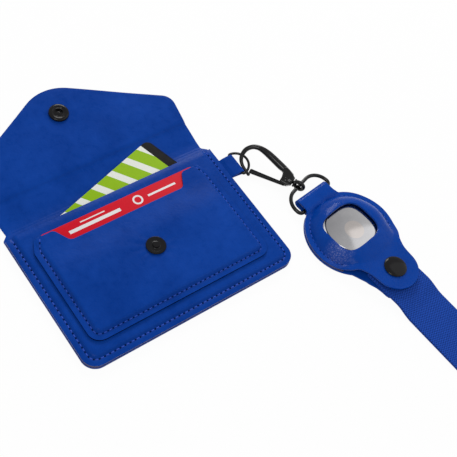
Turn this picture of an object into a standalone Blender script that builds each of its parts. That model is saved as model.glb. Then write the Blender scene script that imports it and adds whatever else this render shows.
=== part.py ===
"""Wrist lanyard card holder: an open wallet, a snap hook chain, a tracker holder and a wrist strap.

The origin is the centre of the wallet's back face. +X runs along the fold, +Y towards the flap and
+Z up from the table.
"""

import math

import bmesh
import bpy
from mathutils import Matrix, Vector

# Clearances
GAP = 0.0003
PIN_GAP = 0.0001
OVERRUN = 0.001
WELD = 0.000001

# Counts
ARC_STEPS = 5
ROUND_STEPS = 24
DOME_STEPS = 48

# Wallet body
BODY_SIDE_MARGINS = 0.0269
BODY_END_MARGINS = 0.0215
BODY_CORNER = 0.0070
BACK_THICKNESS = 0.0012
LINING_THICKNESS = 0.0005
LINING_INSET = 0.0006

# Main pocket, a formed sheet with a sewn border
MAIN_DROP = 0.0027
MAIN_BORDER = 0.0035
MAIN_RAMP = 0.0015
MAIN_THICKNESS = 0.0009

# Front pocket with its thumb notch
FRONT_SIDE_MARGIN = 0.0052
FRONT_CENTRE = -0.0008
FRONT_LOW = 0.0087
FRONT_DROP = 0.0066
FRONT_CORNER = 0.0060
FRONT_TAPER = 0.0030
FRONT_INNER_TAPER = 0.0005
FRONT_TAPER_HEIGHT = 0.0062
FRONT_BORDER = 0.0030
FRONT_RAMP = 0.0012
FRONT_THICKNESS = 0.0008
NOTCH_SIDE = 0.0130
NOTCH_SLANT = 0.0043
NOTCH_DEPTH = 0.0081
NOTCH_CORNER = 0.0028
NOTCH_LIP = 0.0012

# Cards
CARD_LENGTH = 0.0856
CARD_WIDTH = 0.0540
CARD_THICKNESS = 0.00076
CARD_CORNER = 0.00318
RED_CARD_LOW = 0.0132
GREEN_CARD_X = -0.0014
GREEN_CORNER_REACH = 0.0165
GREEN_CARD_TURN = math.radians(17.3)
GREEN_PIVOT_X = -0.0543
GREEN_PIVOT_Y = -0.0085

# Flap, measured from the fold's axis
FOLD_REACH = 0.0046
FLAP_THICKNESS = 0.0015
CREASE_THICKNESS = 0.0009
CREASE_INSET = 0.00265
FLAP_START = 0.0126
FLAP_START_INSET = 0.00145
FLAP_SHOULDER_SHARE = 0.4747
FLAP_SHOULDER_OUTSET = 0.00075
FLAP_SHOULDER_RADIUS = 0.0070
FLAP_NOSE = 0.0177
FLAP_APEX_RADIUS = 0.0230
FLAP_TILT = math.radians(6)

# Wallet snap
SNAP_BELOW_CENTRE = 0.00125
STUD_RADIUS = 0.00475
STUD_BASE = 0.00048
BOSS_RADIUS = 0.0017
SOCKET_RADIUS = 0.0050
SOCKET_HEIGHT = 0.0013
SOCKET_FLOOR = 0.0004
CAP_RADIUS = 0.0056
CAP_HEIGHT = 0.0009
CAP_CROWN = 0.0003
POST_FLANGE_RADIUS = 0.0040
POST_FLANGE = 0.0004
POST_RADIUS = 0.0009

# Ring tab at the wallet's right edge
TAB_CENTRE = 0.0592
TAB_WIDTH = 0.0113
TAB_ROOT = 0.0060
TAB_ROOT_THICKNESS = 0.0005
TAB_LEATHER = 0.0008
TAB_REACH = 0.00665
TAB_WRAP_SHARE = 0.55

# Small D-ring
SMALL_WIRE = 0.0010
SMALL_RING_RADIUS = 0.0066
SMALL_RING_CORNER = 0.0010
SMALL_RING_TILT = math.radians(9)

# Snap hook: its own axis runs from the swivel to the nose
HOOK_REACH = 0.0206
HOOK_Y = 0.0315
HOOK_Z = 0.0038
HOOK_AZIMUTH = math.radians(115)
HOOK_PITCH = math.radians(3)
HOOK_ROLL = math.radians(28)
HOOK_LENGTH = 0.0337
HOOK_WIDTH = 0.0160
SPINE_RADIUS = 0.0019
# The spine's centre line from the block to the nose's tip, as shares of the hook's length and
# width from its axis, with the wire's radius as a share of the spine's
SPINE_SHARES = ((0.208, 0.100, 1.0), (0.326, 0.181, 1.0), (0.504, 0.269, 1.0), (0.653, 0.338, 0.95),
                (0.757, 0.366, 0.82), (0.837, 0.359, 0.68), (0.908, 0.309, 0.63), (0.958, 0.219, 0.60),
                (0.991, 0.100, 0.60), (1.000, -0.025, 0.58), (0.993, -0.150, 0.54), (0.964, -0.275, 0.49),
                (0.917, -0.372, 0.44), (0.861, -0.438, 0.40), (0.801, -0.497, 0.38), (0.763, -0.538, 0.36))
BLOCK_START = 0.0049
BLOCK_LENGTH = 0.0060
BLOCK_HALF = 0.0035
BLOCK_THICKNESS = 0.0048
# The block's outline, as shares of its length from its start and of its half width
BLOCK_SHARES = ((0.10, -0.69), (0.10, 0.69), (0.77, 1.20), (1.18, 1.26), (1.12, 0.34), (1.00, -0.29),
                (1.00, -1.03), (0.35, -1.03))
COLLAR_RADIUS = 0.0026
COLLAR_LENGTH = 0.0030
SLOT_WIDTH = 0.0019
SLOT_START = 0.0070
SLOT_TOP = 0.0017
GATE_THICKNESS = 0.0013
GATE_ROOT_RADIUS = 0.00135
# The gate's outline round its pin, in root radii, with each corner's rounding; the last is its heel
GATE_ROOT_SHARES = ((-1.0, 1.0, 0.9), (1.0, 1.0, 0.9), (1.5, -1.2, 0.5), (-0.6, -2.1, 0.6))
GATE_PIN_U = 0.0084
GATE_PIN_V = -0.0013
GATE_REACH = 0.0256
GATE_WIDTH = 0.0016
GATE_DROP = 0.0054
PIN_RADIUS = 0.0006
PIN_HEAD_RADIUS = 0.0011
PIN_HEAD = 0.0004
SPRING_THICKNESS = 0.00025
SPRING_WIDTH = 0.0012
SPRING_LENGTH = 0.0031
SPRING_BEND = 0.0005
SPRING_BEND_SHARE = 0.33

# Swivel eye
EYE_CENTRE = 0.0014
EYE_HALF_LENGTH = 0.0023
EYE_HALF_HEIGHT = 0.0023
EYE_WIRE = 0.0016
EYE_ROUND_SHARE = 0.95
STEM_RADIUS = 0.0008
STEM_HEAD_RADIUS = 0.0014
STEM_HEAD = 0.0005
STEM_WALL = 0.0010

# Large ring
LARGE_WIRE = 0.0019
LARGE_HALF = 0.0132
LARGE_DEPTH = 0.0104
LARGE_TOP_RADIUS = 0.0078
LARGE_BAR_RADIUS = 0.0022
LARGE_AZIMUTH = math.radians(18)
LARGE_TILT = math.radians(7.4)

# Tracker holder
HOLDER_REACH = 0.0271
HOLDER_Y = -0.0010
HOLDER_TURN = math.radians(7.5)
HOLDER_RADIUS = 0.02325
HOLDER_BACK_THICKNESS = 0.0010
HOLDER_LEATHER = 0.0010
HOLDER_TAB_CHORD = 0.0200
HOLDER_MOUTH_CHORD = 0.0175
HOLDER_BORDER = 0.0032
WELT_THICKNESS = 0.0006
TAIL_START = math.radians(-46)
TAIL_SHOULDER = 0.0253
TAIL_SHOULDER_HALF = 0.0131
TAIL_NECK = 0.0326
TAIL_REACH = 0.0378
HOLDER_TAB_WIDTH = 0.0200
HOLDER_TAB_REACH = 0.0293
HOLDER_TAB_LEATHER = 0.0009
HOLDER_TAB_ROOT = 0.0040
HOLDER_BAR_REACH = 0.0244
WINDOW_HALF = 0.00975
WINDOW_SQUARENESS = 6
WINDOW_X = -0.0008
MOUTH_OPEN = math.radians(40)
MOUTH_CLOSED = math.radians(54)
BEND_SHARE = 0.45
# The dome's shoulder beyond the tracker and the heights of its rows between seam and window
SHOULDER_REACH = 0.0012
SHOULDER_SHARE = 0.56
MOUTH_SHARE = 0.25
ROW_STEP_SHARE = 0.20
CROWN_RADIUS_SHARE = 0.89
CROWN_SHARE = 0.86

# Tracker
TRACKER_RADIUS = 0.0160
TRACKER_BASE = 0.0040
TRACKER_COVER = 0.0037
TRACKER_EDGE = 0.0008
TRACKER_CROWN = 0.0010
# The steel cover's profile, radius as shares of the tracker's and drop as shares of the cover's height
COVER_SHARES = ((0.0, 0.0), (0.44, 0.09), (0.69, 0.32), (0.875, 0.62), (0.975, 0.92))

# Holder tongue and its snap
TONGUE_START_HALF = 0.0143
TONGUE_NECK = 0.0230
TONGUE_NECK_HALF = 0.0123
TONGUE_HALF = 0.01175
HOLDER_SNAP = 0.0278
HOLDER_STUD_BASE = 0.0004
HOLDER_SOCKET_HEIGHT = 0.0009
HOLDER_SOCKET_FLOOR = 0.00025
HOLDER_POST_FLANGE = 0.0003

# Wrist strap, one webbing folded into a loop
STRAP_WIDTH = 0.0232
WEBBING = 0.0007
STRAP_ROOT_START = 0.0215
STRAP_START = 0.0409
STRAP_LENGTH = 0.1620
STRAP_DROP_RUN = 0.0100
STRAP_BULGE_LENGTH = 0.0320
STRAP_BULGE_HEIGHT = 0.0092
STRAP_TURN = math.radians(-2.3)

# The wallet's outlines, round a standard card
BODY_WIDTH = CARD_LENGTH + BODY_SIDE_MARGINS
BODY_HEIGHT = CARD_WIDTH + BODY_END_MARGINS
FRONT_HALF = CARD_LENGTH / 2 + FRONT_SIDE_MARGIN
NOTCH_TOP_HALF = FRONT_HALF - NOTCH_SIDE
NOTCH_FLOOR_HALF = NOTCH_TOP_HALF - NOTCH_SLANT

# Stack of the wallet's layers, from the table up
BODY_LOW = -BODY_HEIGHT / 2
BODY_TOP = BODY_HEIGHT / 2
LINING_Z = BACK_THICKNESS + GAP
POCKET_Z = LINING_Z + LINING_THICKNESS + GAP
MAIN_PLATEAU_Z = POCKET_Z + CARD_THICKNESS + GAP
FRONT_Z = MAIN_PLATEAU_Z + MAIN_THICKNESS + GAP
POST_Z = FRONT_Z + CARD_THICKNESS + GAP
FRONT_PLATEAU_Z = POST_Z + POST_FLANGE + GAP
STUD_Z = FRONT_PLATEAU_Z + FRONT_THICKNESS + GAP
CLOSED_FLAP_Z = STUD_Z + STUD_BASE + GAP + SOCKET_HEIGHT + GAP
HINGE_Y = BODY_TOP + FOLD_REACH
HINGE_Z = (CLOSED_FLAP_Z + FLAP_THICKNESS) / 2
SNAP_Y = -SNAP_BELOW_CENTRE
FLAP_SNAP = HINGE_Y - SNAP_Y
FLAP_APEX = FLAP_SNAP + FLAP_NOSE
FLAP_SHOULDER = FLAP_APEX * FLAP_SHOULDER_SHARE
FLAP_SHOULDER_HALF = BODY_WIDTH / 2 + FLAP_SHOULDER_OUTSET
FLAP_START_HALF = BODY_WIDTH / 2 - FLAP_START_INSET
CREASE_HALF = BODY_WIDTH / 2 - CREASE_INSET

# The turned card's centre, from its corner above the fold
GREEN_RISE = (CARD_LENGTH * math.sin(GREEN_CARD_TURN) + CARD_WIDTH * math.cos(GREEN_CARD_TURN)) / 2
GREEN_CARD_Y = BODY_TOP + GREEN_CORNER_REACH - GREEN_RISE

# Stack of the holder's layers, from the table up
WELT_Z = HOLDER_BACK_THICKNESS + GAP
HOLDER_FRONT_Z = WELT_Z + WELT_THICKNESS + GAP
STRAP_Z = WELT_Z + HOLDER_POST_FLANGE + GAP
STRAP_STACK = WEBBING + GAP + WEBBING
HOLDER_STUD_Z = STRAP_Z + STRAP_STACK + GAP
HOLDER_SOCKET_Z = HOLDER_STUD_Z + HOLDER_STUD_BASE + GAP
TONGUE_Z = HOLDER_SOCKET_Z + HOLDER_SOCKET_HEIGHT + GAP
TRACKER_TOP_Z = WELT_Z + TRACKER_BASE + GAP + TRACKER_COVER
HOLDER_BAR_Z = HOLDER_TAB_LEATHER + GAP + LARGE_WIRE / 2
HOLDER_TAB_Z = HOLDER_BAR_Z + LARGE_WIRE / 2 + GAP + HOLDER_TAB_LEATHER

# Ring tab's loop round the small ring's bar
TAB_LOOP_RADIUS = SMALL_WIRE / 2 + GAP + TAB_LEATHER
TAB_BAR_X = BODY_WIDTH / 2 + TAB_REACH
TAB_BAR_Z = LINING_Z + TAB_LOOP_RADIUS / 2
TAB_Y = BODY_LOW + TAB_CENTRE
HOOK_X = TAB_BAR_X + HOOK_REACH
HOLDER_X = TAB_BAR_X + HOLDER_REACH


def turned_frame(place, azimuth, pitch=0, roll=0):
    """A frame at a place, whose X axis has the azimuth and pitch and which is rolled about it."""
    heading = Matrix.Rotation(azimuth, 4, "Z") @ Matrix.Rotation(-pitch, 4, "Y")
    return Matrix.Translation(place) @ heading @ Matrix.Rotation(-roll, 4, "X")


FLAP_FRAME = turned_frame((0, HINGE_Y, HINGE_Z), 0) @ Matrix.Rotation(FLAP_TILT, 4, "X")
RING_FRAME = turned_frame((TAB_BAR_X, TAB_Y, TAB_BAR_Z), 0, SMALL_RING_TILT)
HOOK_PLACE = (HOOK_X, BODY_LOW + HOOK_Y, HOOK_Z)
HOOK_FRAME = turned_frame(HOOK_PLACE, HOOK_AZIMUTH, HOOK_PITCH, HOOK_ROLL)
EYE_FRAME = turned_frame(HOOK_PLACE, HOOK_AZIMUTH, HOOK_PITCH)
HOLDER_FRAME = turned_frame((HOLDER_X, BODY_LOW + HOLDER_Y, 0), HOLDER_TURN)
BAR_PLACE = HOLDER_FRAME @ Vector((0, HOLDER_BAR_REACH, HOLDER_BAR_Z))
LARGE_FRAME = turned_frame(BAR_PLACE, LARGE_AZIMUTH) @ Matrix.Rotation(LARGE_TILT, 4, "X")
# Turns an outline drawn in a piece's lengthwise section upright: its X along +Y, its Y up
SECTION_ALONG_Y = Matrix(((0, 0, 1, 0), (1, 0, 0, 0), (0, 1, 0, 0), (0, 0, 0, 1)))
# The same along X: its X along +X, its Y up
SECTION_ALONG_X = Matrix.Rotation(math.pi / 2, 4, "X")


def make_finish(name, colour, roughness, metallic=0.0):
    """A Principled material."""
    material = bpy.data.materials.new(name)
    material.use_nodes = True
    shader = material.node_tree.nodes["Principled BSDF"]
    shader.inputs["Base Color"].default_value = (*colour, 1.0)
    shader.inputs["Roughness"].default_value = roughness
    shader.inputs["Metallic"].default_value = metallic
    return material


def clear_scene():
    """Empties the scene and makes one collection for the parts and one for the cutters."""
    for item in list(bpy.data.objects):
        bpy.data.objects.remove(item, do_unlink=True)
    parts = bpy.data.collections.new("wrist_lanyard_card_holder")
    cutters = bpy.data.collections.new("cutters")
    bpy.context.scene.collection.children.link(parts)
    bpy.context.scene.collection.children.link(cutters)
    return parts, cutters


def make_empty(name, frame, parent=None):
    """A guide on a joint's axis; the frame is given in the parent's own."""
    empty = bpy.data.objects.new(name, None)
    empty.parent = parent
    empty.matrix_basis = frame
    PARTS.objects.link(empty)
    return empty


def place(name, data, finish, parent=None, frame=None):
    """Links an object made of a mesh or a curve, placed in its parent's frame."""
    item = bpy.data.objects.new(name, data)
    item.parent = parent
    item.matrix_basis = frame if frame else Matrix()
    if finish:
        data.materials.append(finish)
        PARTS.objects.link(item)
    else:
        item.hide_render = True
        item.display_type = "WIRE"
        CUTTERS.objects.link(item)
    return item


def as_mesh(item, finish):
    """Makes a curve object a welded mesh object of the same name and place."""
    graph = bpy.context.evaluated_depsgraph_get()
    mesh = bpy.data.meshes.new_from_object(item.evaluated_get(graph))
    shape = bmesh.new()
    shape.from_mesh(mesh)
    bmesh.ops.remove_doubles(shape, verts=shape.verts, dist=WELD)
    shape.to_mesh(mesh)
    shape.free()
    mesh.materials.clear()
    name, parent, frame = item.name, item.parent, item.matrix_basis.copy()
    bpy.data.objects.remove(item, do_unlink=True)
    return place(name, mesh, finish, parent, frame)


def combine(target, tool, operation):
    """Cuts or joins a tool into the target."""
    modifier = target.modifiers.new(operation.lower(), "BOOLEAN")
    modifier.operation = operation
    modifier.object = tool


def rounded(corners, closed=True, steps=ARC_STEPS):
    """Points of an outline whose corners, each x, y and radius, are rounded by arcs."""
    points = []
    last = len(corners) - 1
    for index, (x, y, radius) in enumerate(corners):
        at_end = not closed and index in (0, last)
        if radius == 0 or at_end:
            points.append((x, y))
            continue
        here = Vector((x, y))
        before = (Vector(corners[index - 1][:2]) - here).normalized()
        after = (Vector(corners[(index + 1) % (last + 1)][:2]) - here).normalized()
        half = before.angle(after) / 2
        centre = here + (before + after).normalized() * (radius / math.sin(half))
        first = here + before * (radius / math.tan(half)) - centre
        final = here + after * (radius / math.tan(half)) - centre
        start = math.atan2(first.y, first.x)
        sweep = math.atan2(first.x * final.y - first.y * final.x, first.dot(final))
        for step in range(steps + 1):
            angle = start + sweep * step / steps
            points.append((centre.x + radius * math.cos(angle), centre.y + radius * math.sin(angle)))
    return points


def arc(radius, start, end, steps, centre=(0, 0)):
    """Points of an arc from one angle to another."""
    points = []
    for step in range(steps + 1):
        angle = start + (end - start) * step / steps
        points.append((centre[0] + radius * math.cos(angle), centre[1] + radius * math.sin(angle)))
    return points


def circle(radius, centre=(0, 0), steps=ROUND_STEPS):
    """Points of a whole circle."""
    return arc(radius, 0, 2 * math.pi, steps, centre)[:-1]


def plate(name, loops, low, high, finish, parent=None, frame=None):
    """A flat piece between two heights of its frame; the loops after the first are holes."""
    curve = bpy.data.curves.new(name, "CURVE")
    curve.dimensions = "2D"
    curve.fill_mode = "BOTH"
    curve.extrude = (high - low) / 2
    for loop in loops:
        spline = curve.splines.new("POLY")
        spline.points.add(len(loop) - 1)
        for point, (x, y) in zip(spline.points, loop):
            point.co = (x, y, 0, 1)
        spline.use_cyclic_u = True
    middle = Matrix.Translation((0, 0, (low + high) / 2))
    return place(name, curve, finish, parent, (frame if frame else Matrix()) @ middle)


def wire(name, points, diameter, finish, parent=None, frame=None, closed=True, shares=None):
    """A round wire along points; shares scale its radius at each of them."""
    curve = bpy.data.curves.new(name, "CURVE")
    curve.dimensions = "3D"
    curve.bevel_depth = diameter / 2
    curve.bevel_resolution = 2
    curve.use_fill_caps = not closed
    spline = curve.splines.new("POLY")
    spline.points.add(len(points) - 1)
    for index, point in enumerate(points):
        spline.points[index].co = (*point, 1)
        spline.points[index].radius = shares[index] if shares else 1
    spline.use_cyclic_u = closed
    return place(name, curve, finish, parent, frame)


def turned(name, profile, finish, parent=None, frame=None, closed=False, steps=ROUND_STEPS):
    """A piece turned about its frame's Z axis from a profile of radius and height, top to bottom."""
    mesh = bpy.data.meshes.new(name)
    edges = [(index, index + 1) for index in range(len(profile) - 1)]
    if closed:
        edges.append((len(profile) - 1, 0))
    mesh.from_pydata([(radius, 0, height) for radius, height in profile], edges, [])
    item = place(name, mesh, finish, parent, frame)
    screw = item.modifiers.new("turn", "SCREW")
    screw.steps = steps
    screw.render_steps = steps
    screw.use_merge_vertices = True
    screw.merge_threshold = WELD
    screw.use_smooth_shade = True
    return item


def formed_sheet(name, rows, rim, thickness, finish, parent=None, frame=None, ring=False):
    """A sheet lofted through rows of points, from its outer edge inwards, with its thickness upwards.

    The last row and the rim points close the middle; a ring has closed rows and no middle.
    """
    shape = bmesh.new()
    row_verts = [[shape.verts.new(point) for point in row] for row in rows]
    count = len(rows[0])
    for outer, inner in zip(row_verts, row_verts[1:]):
        for index in range(count if ring else count - 1):
            after = (index + 1) % count
            shape.faces.new((outer[index], outer[after], inner[after], inner[index]))
    if not ring:
        shape.faces.new(row_verts[-1] + [shape.verts.new(point) for point in rim])
    mesh = bpy.data.meshes.new(name)
    shape.to_mesh(mesh)
    shape.free()
    item = place(name, mesh, finish, parent, frame)
    solidify = item.modifiers.new("leather", "SOLIDIFY")
    solidify.thickness = thickness
    solidify.offset = 1
    solidify.use_even_offset = True
    return item


def wallet_row(half, low, high, corner, z, centre=0.0, taper=0.0, taper_height=0.0):
    """One U-shaped row of a pocket sheet, from its upper left end round to its upper right end."""
    corners = [(centre - half + taper, high, 0), (centre - half, low, corner)]
    if taper:
        corners.insert(1, (centre - half, high - taper_height, 0))
    corners += [(2 * centre - x, y, radius) for x, y, radius in reversed(corners)]
    return [(x, y, z) for x, y in rounded(corners, closed=False)]


def body_outline(inset, top):
    """The wallet's outline with its rounded lower corners."""
    half = BODY_WIDTH / 2 - inset
    low = BODY_LOW + inset
    corner = BODY_CORNER - inset
    return rounded([(-half, top, 0), (-half, low, corner), (half, low, corner), (half, top, 0)])


def card_outline():
    """A card's outline about its own centre."""
    x = CARD_LENGTH / 2
    y = CARD_WIDTH / 2
    return rounded([(x, y, CARD_CORNER), (-x, y, CARD_CORNER), (-x, -y, CARD_CORNER), (x, -y, CARD_CORNER)])


def snap_stud(name, radius, base, boss, low, finish, parent=None, frame=None):
    """A stud with a boss, open below for the stem of its post."""
    bore = POST_RADIUS + GAP
    wall = boss / 2
    profile = [(0, low + base + boss), (BOSS_RADIUS, low + base + boss), (BOSS_RADIUS, low + base),
               (radius, low + base), (radius, low), (bore, low), (bore, low + base + wall),
               (0, low + base + wall)]
    return turned(name, profile, finish, parent, frame)


def snap_post(name, flange, low, reach, finish, parent=None, frame=None):
    """A flat flange with a stem that reaches up into its stud."""
    profile = [(0, reach), (POST_RADIUS, reach), (POST_RADIUS, low + flange),
               (POST_FLANGE_RADIUS, low + flange), (POST_FLANGE_RADIUS, low), (0, low)]
    return turned(name, profile, finish, parent, frame)


def snap_socket(name, near, far, floor, finish, parent=None, frame=None):
    """A socket ring on a leather: its floor lies at near and its mouth opens at far."""
    side = math.copysign(1, far - near)
    hole = POST_RADIUS + GAP
    cavity = BOSS_RADIUS + GAP
    profile = [(hole, near), (hole, near + side * floor), (cavity, near + side * floor), (cavity, far),
               (SOCKET_RADIUS, far), (SOCKET_RADIUS, near)]
    if side < 0:
        profile.reverse()
    return turned(name, profile, finish, parent, frame, closed=True)


def snap_cap(name, near, side, stem, finish, parent=None, frame=None):
    """A domed cap whose flat side lies at near, with a stem through the leather."""
    edge = near + side * (CAP_HEIGHT - CAP_CROWN)
    crown = near + side * CAP_HEIGHT
    profile = [(0, crown), (CAP_RADIUS - CAP_HEIGHT, crown), (CAP_RADIUS, edge), (CAP_RADIUS, near),
               (POST_RADIUS, near), (POST_RADIUS, near - side * stem), (0, near - side * stem)]
    if side < 0:
        profile.reverse()
    return turned(name, profile, finish, parent, frame)


def make_wallet_body():
    """Back, lining, the two pocket sheets and the snap's lower half."""
    top = BODY_TOP
    plate("back_panel", [body_outline(0, top)], 0, BACK_THICKNESS, LEATHER)
    lining = plate("back_lining", [body_outline(LINING_INSET, top - LINING_INSET)], LINING_Z,
                   LINING_Z + LINING_THICKNESS, LINING)
    lining = as_mesh(lining, LINING)
    notch_low = BODY_WIDTH / 2 - TAB_ROOT - GAP
    notch_high = BODY_WIDTH / 2 + OVERRUN
    half = TAB_WIDTH / 2 + GAP
    notch = plate("lining_notch", [[(notch_low, TAB_Y - half), (notch_high, TAB_Y - half),
                                    (notch_high, TAB_Y + half), (notch_low, TAB_Y + half)]],
                  LINING_Z - OVERRUN, LINING_Z + LINING_THICKNESS + OVERRUN, None)
    combine(lining, as_mesh(notch, None), "DIFFERENCE")

    main_top = top - MAIN_DROP
    rows = []
    for inset, z in ((0, POCKET_Z), (MAIN_BORDER, POCKET_Z), (MAIN_BORDER + MAIN_RAMP, MAIN_PLATEAU_Z)):
        rows.append(wallet_row(BODY_WIDTH / 2 - inset, BODY_LOW + inset, main_top, BODY_CORNER - inset, z))
    formed_sheet("main_pocket_panel", rows, [], MAIN_THICKNESS, LEATHER)

    front_low = BODY_LOW + FRONT_LOW
    front_top = main_top - FRONT_DROP
    rows = []
    for inset, z in ((0, FRONT_Z), (FRONT_BORDER, FRONT_Z), (FRONT_BORDER + FRONT_RAMP, FRONT_PLATEAU_Z)):
        taper = FRONT_INNER_TAPER if inset else FRONT_TAPER
        rows.append(wallet_row(FRONT_HALF - inset, front_low + inset, front_top, FRONT_CORNER - inset, z,
                               FRONT_CENTRE, taper, FRONT_TAPER_HEIGHT))
    floor = front_top - NOTCH_DEPTH
    notch = [rows[-1][-1][:2] + (0,),
             (FRONT_CENTRE + NOTCH_TOP_HALF, front_top, NOTCH_LIP),
             (FRONT_CENTRE + NOTCH_FLOOR_HALF, floor, NOTCH_CORNER),
             (FRONT_CENTRE - NOTCH_FLOOR_HALF, floor, NOTCH_CORNER),
             (FRONT_CENTRE - NOTCH_TOP_HALF, front_top, NOTCH_LIP),
             rows[-1][0][:2] + (0,)]
    rim = [(x, y, FRONT_PLATEAU_Z) for x, y in rounded(notch, closed=False)[1:-1]]
    front = formed_sheet("front_pocket_panel", rows, rim, FRONT_THICKNESS, LEATHER)

    snap = Matrix.Translation((0, SNAP_Y, 0))
    bore = POST_RADIUS + GAP
    hole = turned("front_snap_hole", [(0, STUD_Z), (bore, STUD_Z), (bore, POST_Z), (0, POST_Z)], None,
                  frame=snap)
    combine(front, hole, "DIFFERENCE")
    boss = SOCKET_HEIGHT - SOCKET_FLOOR
    snap_stud("pocket_snap_stud", STUD_RADIUS, STUD_BASE, boss, STUD_Z, METAL, frame=snap)
    snap_post("pocket_snap_post", POST_FLANGE, POST_Z, STUD_Z + STUD_BASE, METAL, frame=snap)


def make_cards():
    """The upright card in the front pocket and the turned card in the main pocket."""
    red_y = BODY_LOW + RED_CARD_LOW + CARD_WIDTH / 2
    plate("red_card", [card_outline()], FRONT_Z, FRONT_Z + CARD_THICKNESS, RED_CARD,
          frame=Matrix.Translation((FRONT_CENTRE, red_y, 0)))
    corner = Matrix.Translation((GREEN_CARD_X + GREEN_PIVOT_X, GREEN_CARD_Y + GREEN_PIVOT_Y, 0))
    pivot = make_empty("green_card_pivot", corner)
    centre = Matrix.Translation((-GREEN_PIVOT_X, -GREEN_PIVOT_Y, 0))
    plate("green_card", [card_outline()], POCKET_Z, POCKET_Z + CARD_THICKNESS, GREEN_CARD, pivot,
          centre @ Matrix.Rotation(GREEN_CARD_TURN, 4, "Z"))


def make_flap():
    """The thin crease beside the body and the flap with the snap's upper half, at its rest tilt."""
    slope = math.tan(FLAP_TILT)
    start = BODY_TOP + GAP
    bend = HINGE_Y + HINGE_Z * math.tan(FLAP_TILT / 2)
    end = HINGE_Y + FLAP_START - GAP
    rise = (end - bend) * slope
    section = [(start, 0), (bend, 0), (end, rise), (end, rise + CREASE_THICKNESS),
               (bend, CREASE_THICKNESS), (start, CREASE_THICKNESS)]
    plate("flap_crease", [section], -CREASE_HALF, CREASE_HALF, LEATHER, frame=SECTION_ALONG_Y)

    hinge = make_empty("flap_hinge", FLAP_FRAME)
    outline = rounded([(-FLAP_START_HALF, FLAP_START, 0), (FLAP_START_HALF, FLAP_START, 0),
                       (FLAP_SHOULDER_HALF, FLAP_SHOULDER, FLAP_SHOULDER_RADIUS),
                       (0, FLAP_APEX, FLAP_APEX_RADIUS),
                       (-FLAP_SHOULDER_HALF, FLAP_SHOULDER, FLAP_SHOULDER_RADIUS)])
    hole = circle(POST_RADIUS + GAP, (0, FLAP_SNAP), ROUND_STEPS // 2)
    inner = FLAP_THICKNESS - HINGE_Z
    plate("flap_panel", [outline, hole], -HINGE_Z, inner, LEATHER, hinge)
    snap = Matrix.Translation((0, FLAP_SNAP, 0))
    near = inner + GAP
    snap_socket("flap_snap_socket", near, near + SOCKET_HEIGHT, SOCKET_FLOOR, METAL, hinge, snap)
    stem = GAP + FLAP_THICKNESS + GAP + SOCKET_FLOOR / 2
    snap_cap("flap_snap_cap", -HINGE_Z - GAP, -1, stem, METAL, hinge, snap)


def d_loop(radius, corner):
    """Points of a D: an arc about the middle of its straight bar, with small corners at the bar."""
    reach = math.sqrt((radius - corner) ** 2 - corner ** 2)
    sweep = math.atan2(reach, corner)
    points = arc(radius, -sweep, sweep, 2 * ARC_STEPS)
    points += arc(corner, sweep, math.pi, 2, (corner, reach))[1:]
    points += arc(corner, -math.pi, -sweep, 2, (corner, -reach))[:-1]
    return points


def make_ring_tab():
    """The folded tab sewn into the right seam and the small ring in its loop."""
    edge = BODY_WIDTH / 2
    root_top = LINING_Z + TAB_ROOT_THICKNESS
    bar = (TAB_BAR_X, TAB_BAR_Z)
    loop = arc(TAB_LOOP_RADIUS, -math.pi * TAB_WRAP_SHARE, math.pi * TAB_WRAP_SHARE, 2 * ARC_STEPS, bar)
    outline = [(edge - TAB_ROOT, root_top), (edge - TAB_ROOT, LINING_Z), (edge + GAP, LINING_Z)]
    outline += loop + [(edge + GAP, root_top)]
    hole = circle(SMALL_WIRE / 2 + GAP, bar, ROUND_STEPS // 2)
    plate("ring_tab", [outline, hole], -TAB_WIDTH / 2, TAB_WIDTH / 2, LEATHER,
          frame=Matrix.Translation((0, TAB_Y, 0)) @ SECTION_ALONG_X)
    axis = make_empty("small_ring_axis", RING_FRAME)
    points = [(x, y, 0) for x, y in d_loop(SMALL_RING_RADIUS, SMALL_RING_CORNER)]
    wire("small_d_ring", points, SMALL_WIRE, METAL, axis)


def hook_point(u, v):
    """A point of the hook's own plane: u along its axis to the nose, v to the spine's side."""
    return (u, -v)


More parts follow.
